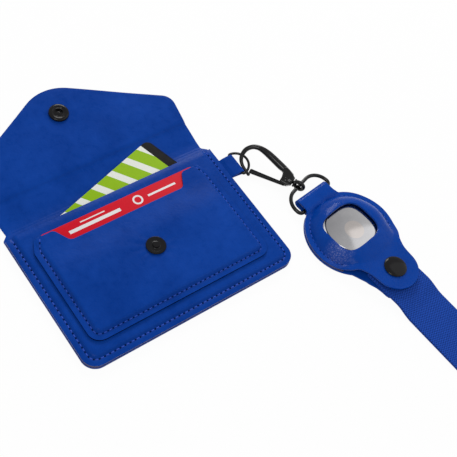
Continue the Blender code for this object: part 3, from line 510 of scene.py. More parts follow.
@dataclass(frozen=True)
class LeatherWithPaintedHighlight(Finish):
    """Leather with a spot where the roughness is lower and a painted highlight, paler in fine wrinkles, stands for the
    glint.
    """

    highlight_spot: Point = (0.0, 0.0)
    highlight_reach: float = 0.0047
    painted_highlight_share: float = 0.7
    painted_highlight_colour: Triple = (0.160, 0.200, 0.490)
    worn_gloss: float = 0.08
    wrinkle_scale: float = 950.0

    def paint(self, surface: Surface) -> None:
        """Paints the highlight into the fine wrinkles about the spot and lowers the roughness there.

        Args:
            surface: The leather's surface.
        """
        bench = surface.bench
        away = bench.read("VectorMath", {0: surface.place, 1: (*self.highlight_spot, 0.0)}, operation="SUBTRACT")
        flat = bench.read("VectorMath", {0: away, 1: (1.0, 1.0, 0.0)}, operation="MULTIPLY")
        length = bench.read("VectorMath", {0: flat}, "Value", operation="LENGTH")
        near = (1.6 - length / self.highlight_reach).clamped()
        wrinkles = bench.read("TexVoronoi", {"Vector": surface.place, "Scale": self.wrinkle_scale}, "Distance",
                              feature="DISTANCE_TO_EDGE")
        # Painted highlight: the wrinkles near the spot are tinted pale violet, standing for the lamp's glint on the
        # dome.
        surface.tint(near * (wrinkles * 3.0).clamped() * self.painted_highlight_share, self.painted_highlight_colour)
        surface.rough = (surface.rough - near * self.worn_gloss).clamped()


@dataclass(frozen=True)
class CardPrint(Finish):
    """A card's face: bars, dots and slanted stripes in its own centred frame, in metres."""

    centre: Point = (0.0, 0.0)
    turn: float = 0.0
    bars: tuple[Quad, ...] = ()
    dots: tuple[Quad, ...] = ()
    ink: Triple = (0.85, 0.85, 0.85)
    stripe: float = 0.0
    stripe_ink: Triple = (0.85, 0.85, 0.85)
    stripe_slant: float = 0.35
    stripe_share: float = 0.36
    band_from: float = 1.0
    band_ink: Triple = (0.006, 0.006, 0.006)

    def paint(self, surface: Surface) -> None:
        """Prints the stripes, the bars and dots and the band over the ground colour.

        Args:
            surface: The card's surface.
        """
        bench = surface.bench
        x, y = bench.plane(bench.read("Mapping", {"Vector": surface.place, "Location": (*self.centre, 0),
                                                  "Rotation": (0, 0, self.turn)}, vector_type="TEXTURE"))
        if self.stripe:
            wave = bench.math("FRACT", (x + y * self.stripe_slant) / self.stripe)
            surface.tint(wave.between(0.0, self.stripe_share), self.stripe_ink)
        mask: object = 0.0
        for left, right, low, high in self.bars:
            mask = bench.math("MAXIMUM", mask, x.between(left, right) * y.between(low, high))
        for dot_x, dot_y, inner, outer in self.dots:
            across, up = x - dot_x, y - dot_y
            reach = bench.math("SQRT", across * across + up * up)
            mask = bench.math("MAXIMUM", mask, reach.between(inner, outer))
        surface.tint(x > self.band_from, self.band_ink)
        surface.tint(mask, self.ink)


@dataclass(frozen=True)
class SteelPlate(Finish):
    """Steel with a painted reflection in soft brighter and darker sectors about a centre, lighter on one side, and a
    warm middle disc.
    """

    centre: Point = (0.0, 0.0)
    dark: Triple = (0.17, 0.17, 0.18)
    bright: Triple = (0.52, 0.52, 0.53)
    middle: Triple = (0.40, 0.365, 0.345)
    middle_radius: float = 0.0049
    middle_edge: float = 0.0003

    def paint(self, surface: Surface) -> None:
        """Paints the reflection's brighter and darker sectors over the steel and lays the warm middle on top.

        Args:
            surface: The plain steel's surface.
        """
        bench = surface.bench
        x, y = bench.plane(bench.read("Mapping", {"Vector": surface.place, "Location": (*self.centre, 0)},
                                      vector_type="TEXTURE"))
        angle = bench.math("ARCTAN2", y, x)
        reflection_sectors = bench.math("SINE", angle * 2.0 + 0.5)
        side = bench.math("COSINE", angle + 0.6)
        reach = bench.math("SQRT", x * x + y * y)
        fade = (reach * 75.0).clamped()
        light = reflection_sectors * 0.12 + side * 0.34
        # Painted reflection: brighter and darker sectors about the centre, lighter on one side.
        surface.tint(light.at_least(0.0) * fade, self.bright)
        surface.tint(light.at_most(0.0) * -1.0 * fade * 1.35, self.dark)
        inside = ((self.middle_radius - reach) / self.middle_edge + 0.5).clamped()
        surface.tint(inside * 0.75, self.middle)


SIDES = (("right", 1), ("left", -1))
SMALL_RING_AT = (0.0629, 0.02145, 0.0023)
ALONG_X = Matrix.Rotation(pi / 2, 4, "Y")
HOLDER_FRAME = turned_frame((0.0900, -0.03875, 0), radians(7.5))
RED_CENTRE, GREEN_CENTRE, GREEN_TURN = (-0.0008, 0.00245), (-0.0014, 0.01575), radians(17.3)
FINISHES = (
    Finish("leather_blue", Slot.LEATHER, Pattern.GRAIN, 900.0, (0.0004, 0.0325, 0.236), (0.0050, 0.0560, 0.350),
           0.55, (0.16, 0.44), 0.045),
    # The holder's leather carries a painted highlight, a pale wrinkled patch on the dome's lower left.
    LeatherWithPaintedHighlight("leather_holder", Slot.LEATHER, Pattern.GRAIN, 800.0, (0.0006, 0.0400, 0.280),
                (0.0044, 0.0610, 0.380), 0.80, (0.10, 0.30), 0.055, 0.00016, highlight_spot=(0.0752, -0.0462)),
    # Dark edge paint on the front pocket's cut rim, which also stands as painted shadow along the pocket's edge.
    Finish("leather_edge", Slot.LEATHER, Pattern.GRAIN, 1400.0, (0.0003, 0.0025, 0.020), (0.0008, 0.0060, 0.048),
           0.3, (0.5, 0.7), 0.05),
    Finish("leather_core", Slot.LEATHER, Pattern.GRAIN, 1400.0, (0.020, 0.020, 0.055), (0.050, 0.040, 0.070),
           0.3, (0.6, 0.8)),
    Finish("lining_tan", Slot.LINING, Pattern.GRAIN, 1400.0, (0.050, 0.030, 0.035), (0.120, 0.070, 0.060),
           0.25, (0.6, 0.8)),
    Finish("thread", Slot.LEATHER, Pattern.WEAVE, 9000.0, (0.010, 0.055, 0.340), (0.055, 0.120, 0.600),
           0.3, (0.5, 0.7), 0.12),
    Finish("metal_black", Slot.METAL, Pattern.HANDLING, 320.0, (0.0022, 0.0022, 0.0025),
           (0.0060, 0.0060, 0.0068), 0.06, (0.09, 0.20), 0.20, coat=0.03),
    Finish("snap_black", Slot.METAL, Pattern.HANDLING, 420.0, (0.0030, 0.0028, 0.0034), (0.0080, 0.0075, 0.0090),
           0.05, (0.07, 0.16), 0.12, coat=0.03),
    Finish("steel", Slot.METAL, Pattern.HANDLING, 260.0, (0.42, 0.42, 0.44), (0.56, 0.55, 0.57),
           0.02, (0.05, 0.13), metallic=1.0),
    # The tracker's steel has a painted reflection, brighter on one side.
    SteelPlate("tracker_steel", Slot.STEEL, Pattern.HANDLING, 260.0, (0.29, 0.29, 0.30), (0.36, 0.355, 0.365),
               0.015, (0.10, 0.20), metallic=1.0, centre=(0.0885, -0.0405)),
    Finish("white_plastic", Slot.WHITE, Pattern.HANDLING, 500.0, (0.78, 0.79, 0.80), (0.84, 0.84, 0.85),
           0.05, (0.22, 0.34)),
    # Painted shade: dark pieces set between the stitches stand for the shade in each stitch hole.
    Finish("stitch_hole", Slot.LEATHER, Pattern.HANDLING, 900.0, (0.0012, 0.007, 0.055), (0.003, 0.013, 0.085),
           0.1, (0.7, 0.9), 0.03),
    CardPrint("red_card_face", Slot.RED, Pattern.HANDLING, 300.0, (0.60, 0.009, 0.021), (0.66, 0.012, 0.028),
              0.03, (0.40, 0.52), 0.04, centre=RED_CENTRE, ink=(0.80, 0.78, 0.78),
              dots=tuple(mm((8, 22.6, 1.7, 2.6))),
              bars=tuple(mm((-29, -2, 21, 22.8), (-22, -9, 24.3, 24.9), (13.5, 29, 21.8, 22.9)))),
    CardPrint("green_card_face", Slot.GREEN, Pattern.HANDLING, 300.0, (0.25, 0.45, 0.012), (0.30, 0.51, 0.018),
              0.03, (0.40, 0.52), 0.03, centre=GREEN_CENTRE, turn=GREEN_TURN, stripe=0.011,
              stripe_ink=(0.78, 0.80, 0.74), band_from=0.0378),
    Finish("webbing_blue", Slot.WEBBING, Pattern.WEAVE, 5400.0, (0.0002, 0.004, 0.030), (0.0230, 0.104, 0.600),
           0.8, (0.55, 0.8), 0.05, 0.00026, by_uv=True),
)


@dataclass
class Section:
    """A sub-assembly, which models its pieces with Blender's own tools and hands them to the frame."""

    finishes: dict[str, tuple[bpy.types.Material, Slot]]

    @staticmethod
    def activate(item: Piece) -> None:
        """Leaves one object selected and active.

        Args:
            item: The object.
        """
        bpy.ops.object.select_all(action="DESELECT")
        item.select_set(True)
        bpy.context.view_layer.objects.active = item

    def edit(self, item: Piece) -> None:
        """Opens an object in edit mode with all of it selected.

        Args:
            item: The object.
        """
        self.activate(item)
        bpy.ops.object.mode_set(mode="EDIT")
        bpy.ops.mesh.select_all(action="SELECT")

    @staticmethod
    def outwards(item: Piece, at: Matrix | None = None) -> Piece:
        """Turns the faces of the piece in edit mode outwards, closes it and moves it into its frame.

        Args:
            item: The piece, in edit mode.
            at: The frame that it is built in.

        Returns:
            The piece.
        """
        bpy.ops.mesh.select_all(action="SELECT")
        bpy.ops.mesh.normals_make_consistent(inside=False)
        bpy.ops.object.mode_set(mode="OBJECT")
        item.data.transform(at or Matrix())
        return item

    @staticmethod
    def primitive(name: str, maker: Callable[..., set], **settings: object) -> Piece:
        """Adds one of Blender's primitives.

        Args:
            name: The piece's name.
            maker: The operator that adds it.
            settings: The operator's settings.

        Returns:
            The new piece.
        """
        bpy.ops.object.select_all(action="DESELECT")
        maker(**settings)
        item = bpy.context.object
        item.name = item.data.name = name
        return item

    def apply(self, item: Piece, kind: str, **settings: object) -> None:
        """Adds a modifier to an object and applies it.

        Args:
            item: The object.
            kind: The modifier's type.
            settings: The modifier's properties.
        """
        modifier = item.modifiers.new(kind.lower(), kind)
        for name, value in settings.items():
            setattr(modifier, name, value)
        self.activate(item)
        bpy.ops.object.modifier_apply(modifier=modifier.name)

    def soften(self, item: Piece, width: float, limit: float, segments: int = 2) -> None:
        """Bevels the edges that are sharper than a limit in degrees."""
        self.apply(item, "BEVEL", width=width, segments=segments, limit_method="ANGLE",
                   angle_limit=radians(limit))

    def grid(self, name: str, across: Sequence, along: Sequence, place: Place, span: Point = (1.0, 1.0)) -> Piece:
        """Shapes a sheet from a grid.

        Args:
            name: The piece's name.
            across: What each column stands for.
            along: What each row stands for.
            place: Gives the place of a grid point, by its column's and its row's value.
            span: The real width and length for its UV map, in metres.

        Returns:
            The open sheet.
        """
        columns, rows = len(across) - 1, len(along) - 1
        item = self.primitive(name, bpy.ops.mesh.primitive_grid_add, x_subdivisions=columns, y_subdivisions=rows,
                              size=2)
        for vertex in item.data.vertices:
            column, row = round((vertex.co.x + 1) / 2 * columns), round((vertex.co.y + 1) / 2 * rows)
            vertex.co = place(across[column], along[row])
        for corner in item.data.uv_layers[0].data:
            corner.uv = (corner.uv[0] * span[0], corner.uv[1] * span[1])
        return item

    def thicken(self, item: Piece, thickness: float, edge: float, offset: float = 1.0, **more: object) -> None:
        """Gives a sheet its thickness and soft edges.

        Args:
            item: The open sheet.
            thickness: The sheet's thickness.
            edge: The width of its rounded edges.
            offset: 1 for outwards along its normals and 0 for both ways.
            more: Further properties of the modifier.
        """
        self.apply(item, "SOLIDIFY", **{"thickness": thickness, "offset": offset, "use_even_offset": True, **more})
        self.soften(item, edge, FOLD_ANGLE)

    def turned(self, name: str, rings: Sequence[Point], at: Matrix | None = None, steps: int = 64) -> Piece:
        """Builds a round piece by extruding and scaling a circle from ring to ring.

        Args:
            name: The piece's name.
            rings: Each ring's radius and height, from one flat end to the other.
            at: The frame that it is built in.
            steps: The circle's number of edges.

        Returns:
            The closed piece.
        """
        item = self.primitive(name, bpy.ops.mesh.primitive_circle_add, vertices=steps, radius=rings[0][0],
                              fill_type="NGON")
        self.edit(item)
        bpy.ops.transform.translate(value=(0, 0, rings[0][1]))
        for (radius, low), (following, high) in zip(rings, rings[1:]):
            bpy.ops.mesh.extrude_edges_move(TRANSFORM_OT_translate={"value": (0, 0, high - low)})
            grow = following / radius
            bpy.ops.transform.resize(value=(grow, grow, 1), center_override=(0, 0, high))
        bpy.ops.mesh.edge_face_add()
        return self.outwards(item, at)

    def wire(self, name: str, points: Sequence[Sequence[float]], radii: Sequence[float], at: Matrix | None = None,
             closed: bool = False, sides: int = 4) -> Piece:
        """Draws a round wire along points.

        Args:
            name: The piece's name.
            points: The centre line.
            radii: The radius at each point, or one for all of them.
            at: The frame that it is built in.
            closed: Whether it is a loop.
            sides: The roundness of its section.

        Returns:
            The wire as a mesh.
        """
        curve = bpy.data.curves.new(name, "CURVE")
        curve.dimensions = "3D"
        curve.bevel_depth = 1.0
        curve.bevel_resolution = sides
        curve.use_fill_caps = not closed
        spline = curve.splines.new("POLY")
        spline.points.add(len(points) - 1)
        for index, point in enumerate(points):
            spline.points[index].co = (*point, 1)
            spline.points[index].radius = radii[index % len(radii)]
        spline.use_cyclic_u = closed
        item = bpy.data.objects.new(name, curve)
        bpy.context.scene.collection.objects.link(item)
        self.activate(item)
        bpy.ops.object.convert(target="MESH")
        item = bpy.context.object
        self.edit(item)
        bpy.ops.mesh.remove_doubles(threshold=WELD)
        return self.outwards(item, at)

    def slab(self, name: str, outline: Sequence[Point], low: float, high: float, edge: float,
             at: Matrix | None = None, segments: int = 2) -> Piece:
        """Extrudes an outline between two heights and bevels its edges.

        Args:
            name: The piece's name.
            outline: The outline's points, counter-clockwise.
            low: The lower height.
            high: The upper height.
            edge: The bevel's width.
            at: The frame that it is built in.
            segments: The bevel's number of faces.

        Returns:
            The closed piece.
        """
        item = self.primitive(name, bpy.ops.mesh.primitive_circle_add, vertices=len(outline), radius=1,
                              fill_type="NGON")
        for vertex, (x, y) in zip(item.data.vertices, outline):
            vertex.co = (x, y, low)
        self.edit(item)
        bpy.ops.mesh.extrude_region_move(TRANSFORM_OT_translate={"value": (0, 0, high - low)})
        self.outwards(item)
        self.soften(item, edge, TURNED_ANGLE, segments)
        item.data.transform(at or Matrix())
        return item

    def join(self, name: str, pieces: Sequence[Piece]) -> Piece:
        """Joins pieces into one object.

        Args:
            name: The object's name.
            pieces: The pieces, of which the first takes in the others.

        Returns:
            The object.
        """
        self.activate(pieces[0])
        for piece in pieces:
            piece.select_set(True)
        bpy.ops.object.join()
        item = bpy.context.object
        item.name = item.data.name = name
        return item

    def cut(self, item: Piece, tool: Piece) -> None:
        """Cuts a tool's shape out of a piece and removes the tool."""
        self.apply(item, "BOOLEAN", operation="DIFFERENCE", object=tool, solver="EXACT")
        bpy.data.objects.remove(tool, do_unlink=True)

    def melt(self, item: Piece, voxel: float, rounds: int = 0) -> None:
        """Gives overlapping pieces one skin and softens its inner corners.

        Args:
            item: The joined pieces.
            voxel: The size of the skin's faces.
            rounds: How often it is smoothed.
        """
        self.apply(item, "REMESH", mode="VOXEL", voxel_size=voxel, use_smooth_shade=True)
        if rounds:
            self.apply(item, "SMOOTH", factor=0.5, iterations=rounds)

    def stitches(self, name: str, path: Sequence[Vector], pitch: float, size: Point) -> Piece:
        """Sews a row of stitches along a path: one stitch is modelled and copied.

        Args:
            name: The row's name.
            path: The path's points.
            pitch: The distance from stitch to stitch.
            size: One stitch's length and thickness.

        Returns:
            The row as one object.
        """
        first = self.primitive(name, bpy.ops.mesh.primitive_uv_sphere_add, segments=8, ring_count=5, radius=0.5)
        self.edit(first)
        bpy.ops.transform.resize(value=(size[1], size[1], size[0]), center_override=(0, 0, 0))
        bpy.ops.object.mode_set(mode="OBJECT")
        spots = evenly(path, pitch / 2)
        row: list[Piece] = []
        for before, spot, after in zip(spots[::2], spots[1::2], spots[2::2]):
            copy = first.copy()
            copy.data = first.data.copy()
            bpy.context.scene.collection.objects.link(copy)
            turn = (after - before).to_track_quat("Z", "X").to_matrix().to_4x4()
            copy.data.transform(Matrix.Translation(spot) @ turn)
            row.append(copy)
        bpy.data.objects.remove(first, do_unlink=True)
        return self.join(name, row)

    def sew(self, names: tuple[str, str], path: Sequence[Vector], pitch: float, sizes: tuple[Point, Point],
            body: Body) -> None:
        """Sews a seam: its thread and, between the stitches, dark pieces that stand as painted shade in each stitch
        hole.

        Args:
            names: The names of the thread and of the painted hole shade.
            path: The seam's points.
            pitch: The distance from stitch to stitch.
            sizes: The length and thickness of a stitch and of a hole's painted shade.
            body: The body that it rides on.
        """
        lines = (path, evenly(path, pitch / 2)[1:])
        for name, line, size, finish in zip(names, lines, sizes, ("thread", "stitch_hole")):
            self.dress(self.stitches(name, line, pitch, size), finish, body)

    def dress(self, item: Piece, finish: str, body: Body | None = None, nodes: Sequence[str] = (),
              angle: float = 35.0, rim: str = "") -> None:
        """Gives a piece its finish and smooth shading, and lets it ride on a body in place of nodes.

        Args:
            item: The piece.
            finish: The finish's name.
            body: The body that it rides on, if any.
            nodes: The frame's nodes that it takes the place of.
            angle: Edges sharper than this stay sharp, in degrees.
            rim: The finish of its cut edges, where they have their own.
        """
        material, slot = self.finishes[finish]
        item.data.materials.clear()
        item.data.materials.append(material)
        if rim:
            item.data.materials.append(self.finishes[rim][0])
            for face in item.data.polygons:
                face.material_index = int(abs(face.normal.z) < STEEP)
        self.activate(item)
        bpy.ops.object.shade_smooth_by_angle(angle=radians(angle))
        if body:
            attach(item, body.value)
        if nodes:
            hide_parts(*nodes)
        LOG.info("%s: %d faces", item.name, len(item.data.polygons))


@dataclass
class Wallet(Section):
    """The wallet's leather cover with its flap, the two pockets, their seams and the press stud."""

    half: float = 0.05625
    low: float = -0.03775
    corner: float = 0.007
    fold: float = 0.042646
    tilt: float = radians(6)
    back: float = 0.0012
    leather: float = 0.0015
    crease: float = 0.0009
    row_pitch: float = 0.0016
    row_least: float = 0.00004
    folds: Point = (0.0398, 0.0432)
    fold_width: float = 0.00042
    fold_depth: float = 0.12
    wave: float = 0.0005
    wave_from: float = 0.056
    wave_reach: float = 0.05
    lining_inset: float = 0.0002
    lining_z: Point = (0.0013, 0.0022)
    lining_edge: float = 0.00012
    main_border: float = 0.0035
    main_low: float = 0.0023
    main_high: float = 0.00336
    main_leather: float = 0.0009
    main_top: float = 0.03505
    main_ramp: float = 0.0015
    main_pitch: float = 0.003
    pocket_centre: float = -0.0008
    pocket_half: float = 0.048
    pocket_low: float = -0.02905
    pocket_top: float = 0.02845
    pocket_corner: float = 0.006
    pocket_border: float = 0.0031
    pocket_ramp: float = 0.0016
    mouth_border: float = 0.0003
    mouth_from: float = 0.0060
    mouth_ramp: float = 0.0052
    mouth_taper: Point = (0.0062, 0.9375)
    pocket_floor_z: float = 0.00456
    pocket_high_z: float = 0.00632
    pocket_slope: float = 0.00082
    pocket_leather: float = 0.0008
    pocket_pitch: float = 0.0011
    notch_from: float = 0.012
    pucker: float = 0.00030
    pucker_reach: float = 0.0085
    slack: float = 0.00012
    notch_y: float = 0.02035
    seam_inset: float = 0.0029
    seam_depth: float = 0.00016
    seam_width: float = 0.00055
    thread_sink: float = 0.00015
    pitch: float = 0.00255
    thread: Point = (0.0018, 0.0007)
    hole: Point = (0.0010, 0.0008)
    snap: Point = (0.0, -0.00125)
    flap_snap: float = 0.0436
    tab_y: float = 0.02145
    tab_half: float = 0.00565
    tab_leather: float = 0.0007
    tab_bend: float = 0.00112
    edge: list[Point] = field(default_factory=list)

    @property
    def flap_frame(self) -> Matrix:
        """The flap's own frame, at its hinge and tilted as it lies."""
        return Matrix.Translation((0, 0.04235, 0.00565)) @ Matrix.Rotation(self.tilt, 4, "X")

    def cover_edge(self) -> list[Point]:
        """Lays out the cover's half width along its length.

        Returns:
            Pairs of length from the wallet's middle and half width.
        """
        right = [(0, self.low, 0), (self.half, self.low, self.corner)]
        right += mm((56.25, 36.9, 0.8), (53.7, 38.8, 1.2), (54.8, 55.5, 4), (57, 72.05, 7), (0, 104.25, 23),
                    (-57, 72.05, 0))
        stops = [(y, x) for x, y in rounded(right, closed=False, steps=20)[1:-1] if x > -0.00001]
        stops[-1] = (stops[-1][0], 0.0004)
        made = [stops[0]]
        for stop in stops[1:]:
            if stop[0] > made[-1][0] + 0.00001:
                made.append(stop)
        return made

    def cover(self) -> None:
        """Cuts the back and the flap from one leather, thin at the fold."""
        self.edge = self.cover_edge()
        marks = [stop[0] for stop in self.edge]
        count = round((marks[-1] - marks[0]) / self.row_pitch)
        marks = sorted(marks + [mix(marks[0], marks[-1], share) for share in shares(count)[1:-1]])
        rows = marks[:1] + [high for low, high in zip(marks, marks[1:]) if high - low > self.row_least]

        def place(share: float, along: float) -> Vector:
            """Puts a grid point on the cover's underside, which rises from the fold on.

            Args:
                share: Across the cover.
                along: The length along the leather.

            Returns:
                The point.
            """
            x = step_curve(self.edge, along) * (2 * share - 1)
            reach = max(along - self.fold, 0.0)
            y, z = min(along, self.fold) + reach * cos(self.tilt), reach * sin(self.tilt)
            free = smooth((along - self.wave_from) / self.wave_reach)
            lift = free * self.wave * (0.6 * sin(x * 62 + 0.7) + 0.4 * sin(along * 150))
            return Vector((x, y, z + max(lift, 0.0)))

        item = self.grid("wallet_cover", shares(60), rows, place)
        group = item.vertex_groups.new(name="leather")
        back, thin = self.back / self.leather, self.crease / self.leather
        weights = [(self.low, back), (0.0370, back), (0.0385, thin), (0.0546, thin), (0.0562, 1.0)]
        for vertex in item.data.vertices:
            reach = vertex.co.y
            groove = sum(bell(reach - fold, self.fold_width) for fold in self.folds)
            group.add([vertex.index], step_curve(weights, reach) * (1 - self.fold_depth * groove), "REPLACE")
        self.thicken(item, self.leather, 0.00025, vertex_group="leather")
        self.dress(item, "leather_blue", angle=FOLD_ANGLE)
        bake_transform(item)
        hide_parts("back_panel", "flap_crease", "flap_panel")

    def lining(self) -> None:
        """Cuts the thin lining that shows as a brown line at the wallet's edge."""
        side, low, notch = self.half - self.lining_inset, self.low + self.lining_inset, self.half - 0.0063
        corners = [(side, low, 0.0064), (side, 0.0152, 0), (notch, 0.0152, 0), (notch, 0.0277, 0),
                   (side, 0.0277, 0), (side, 0.0348, 0), (-side, 0.0348, 0), (-side, low, 0.0064)]
        item = self.slab("lining_sheet", rounded(corners), *self.lining_z, self.lining_edge)
        self.dress(item, "lining_tan", Body.WALLET, ["back_lining"])

    @staticmethod
    def spread(near: Sequence[float], reach: float, pitch: float) -> list[float]:
        """Lists distances from an edge: the near ones as given and then even ones up to a reach."""
        count = max(1, round((reach - near[-1]) / pitch))
        return list(near) + [mix(near[-1], reach, share) for share in shares(count)[1:]]

    @staticmethod
    def mirrored(half: float, sides: Sequence[float]) -> list[float]:
        """Lists columns from distances to the left edge, and the same from the right one."""
        return [-half + side for side in sides] + [half - side for side in reversed(sides[:-1])]

    @staticmethod
    def edge_distance(x: float, y: float, half: float, low: float, corner: float) -> float:
        """Measures how far a point lies inside a pocket's sewn edge.

        Args:
            x: The point's distance from the pocket's middle.
            y: The point's Y.
            half: The pocket's half width.
            low: The pocket's lower edge.
            corner: The radius of its lower corners.

        Returns:
            The distance in metres.
        """
        side, up = half - abs(x), y - low
        if side < corner and up < corner:
            return corner - hypot(corner - side, corner - up)
        return min(side, up)

    def seam_dip(self, inside: float) -> float:
        """Sinks the leather along its seam."""
        return self.seam_depth * bell(inside - self.seam_inset, self.seam_width)

    def main_pocket(self) -> None:
        """Forms the main pocket: a sewn border and a raised middle that the card fills."""
        near = mm(0, 0.3, 1.2, 1.9, 2.3, 2.6, 2.9, 3.2, 3.5, 3.8, 4.1, 4.4, 4.7, 5.0, 5.6, 6.4)
        columns = self.mirrored(self.half, self.spread(near, self.half, self.main_pitch))
        rows = [self.low + up for up in self.spread(near, self.main_top - self.low, self.main_pitch)]

        def place(x: float, y: float) -> Vector:
            """Puts a grid point on the pocket's underside.

            Args:
                x: Across the pocket, before its edge is followed.
                y: Up the pocket.

            Returns:
                The point.
            """
            x *= step_curve(self.edge, y) / self.half
            inside = self.edge_distance(x, y, self.half, self.low, self.corner)
            rise = smooth((inside - self.main_border) / self.main_ramp)
            return Vector((x, y, mix(self.main_low, self.main_high, rise) - self.seam_dip(inside)))

        item = self.grid("main_pocket", columns, rows, place)
        self.thicken(item, self.main_leather, SOFT_EDGE)
        self.dress(item, "leather_blue", Body.WALLET, ["main_pocket_panel"], FOLD_ANGLE)

    def pocket_top_at(self, x: float) -> float:
        """Finds the front pocket's upper edge, with its thumb notch, at a place across it.

        Args:
            x: Across the pocket, from its middle.

        Returns:
            How far up the edge lies.
        """
        corners = [(-0.049, self.pocket_top, 0), (-0.035, self.pocket_top, 0.0022), (-0.0307, self.notch_y, 0.0030),
                   (0, self.notch_y, 0)]
        return step_curve(rounded(corners, closed=False), -abs(x))

    def pocket_taper(self, up: float) -> float:
        """Finds the share of its width that the front pocket keeps at a height over its lower edge."""
        tall, (reach, share) = self.pocket_top - self.pocket_low, self.mouth_taper
        return step_curve([(0.0, 1.0), (tall - reach, 1.0), (tall, share)], up)

    def pocket_rise(self, x: float, y: float) -> Point:
        """Finds how far a point lies inside the front pocket's edge, and the share that the pocket rises there.

        Args:
            x: Across the pocket, from its middle.
            y: Up the pocket.

        Returns:
            The distance from the edge, and 0 on the sewn border to 1 on the raised middle.
        """
        half = self.pocket_half * self.pocket_taper(y - self.pocket_low)
        inside = self.edge_distance(x, y, half, self.pocket_low, self.pocket_corner)
        near_mouth = smooth((y - self.pocket_top + self.mouth_from) / self.mouth_ramp)
        border = mix(self.pocket_border, self.mouth_border, near_mouth)
        return inside, smooth((inside - border) / self.pocket_ramp)

    def pocket_level(self, y: float, rise: float) -> float:
        """Finds the height of the front pocket's underside, which sinks on the card towards the mouth."""
        mouth = smooth((y - 0.004) / 0.018) * self.pocket_slope
        return mix(self.pocket_floor_z, self.pocket_high_z - mouth, rise)

    def pocket_seam_z(self, x: float, y: float) -> float:
        """Finds where a stitch lies on the front pocket's leather."""
        rise = self.pocket_rise(x - self.pocket_centre, y)[1]
        return self.pocket_level(y, rise) + self.pocket_leather - self.thread_sink

    def front_pocket(self) -> None:
        """Forms the front pocket with its notch and the pucker round the stud."""
        near = mm(0, 0.3, 1, 1.6, 2, 2.3, 2.6, 2.9, 3.2, 3.5, 3.8, 4.1, 4.4, 4.8, 5.3, 6)
        notch = [self.pocket_half - x for x in
                 mm(35.9, 35.4, 34.9, 34.4, 33.8, 33.2, 32.6, 32, 31.4, 30.8, 30.2, 29.5, 28.8)]
        sides = self.spread(near, notch[0], self.pocket_pitch)[:-1] + notch
        columns = self.mirrored(self.pocket_half, self.spread(sides, self.pocket_half, self.pocket_pitch))
        tall = self.pocket_top - self.pocket_low
        rows = self.spread(near, tall - 0.0003, self.pocket_pitch) + [tall]
        corner_share = [(y - self.low, width / self.half) for y, width in self.edge
                        if y < self.low + self.corner + 0.0001]

        def place(x: float, up: float) -> Vector:
            """Puts a grid point on the pocket's underside.

            Args:
                x: Across the pocket, before its edge is followed.
                up: The height over the lower edge, before the notch is cut.

            Returns:
                The point.
            """
            corner_up = up * self.corner / self.pocket_corner
            x *= step_curve(corner_share, corner_up) if up < self.pocket_corner else 1.0
            x *= self.pocket_taper(up)
            low = self.notch_from
            if up > low:
                up = low + (up - low) * (self.pocket_top_at(x) - self.pocket_low - low) / (tall - low)
            y = self.pocket_low + up
            inside, rise = self.pocket_rise(x, y)
            across, along = x + self.pocket_centre - self.snap[0], y - self.snap[1]
            angle = atan2(along, across)
            folds = 0.55 + 0.45 * cos(11 * angle + 2 * sin(2 * angle))
            pucker = self.pucker * bell(hypot(across, along), self.pucker_reach) * folds
            slack = self.slack * sin(x * 120) * sin(y * 95) * rise
            z = self.pocket_level(y, rise) - self.seam_dip(inside) - pucker + slack
            return Vector((x + self.pocket_centre, y, z))

        item = self.grid("front_pocket", columns, rows, place)
        self.thicken(item, self.pocket_leather, SOFT_EDGE)
        # The pocket's rim takes the edge finish: dark edge paint and painted shadow under the pocket's edge.
        self.dress(item, "leather_blue", Body.WALLET, ["front_pocket_panel"], FOLD_ANGLE, "leather_edge")

    def seams(self) -> None:
        """Sews the two pockets' seams."""
        inset = self.seam_inset
        side, low = self.half - inset, self.low + inset
        body = [(-side, 0.0345, 0), (-side, low, 0.0042), (side, low, 0.0042), (side, 0.0345, 0)]
        left = self.pocket_centre - self.pocket_half + inset
        right, low = left + 2 * (self.pocket_half - inset), self.pocket_low + inset
        pocket = [(left + 0.0028, 0.0278, 0), (left, 0.0222, 0.004), (left, low, 0.0034), (right, low, 0.0034),
                  (right, 0.0222, 0.004), (right - 0.0028, 0.0278, 0)]
        body_z = self.main_low + self.main_leather - self.thread_sink
        for name, corners, level in (("body_seam", body, lambda x, y: body_z),
                                     ("pocket_seam", pocket, self.pocket_seam_z)):
            path = [(x, y, 0) for x, y in rounded(corners, closed=False)]
            path = [Vector((x, y, level(x, y))) for x, y, z in evenly(path, 0.0004)]
            self.sew((name + "_thread", name + "_holes"), path, self.pitch, (self.thread, self.hole),
                     Body.WALLET)

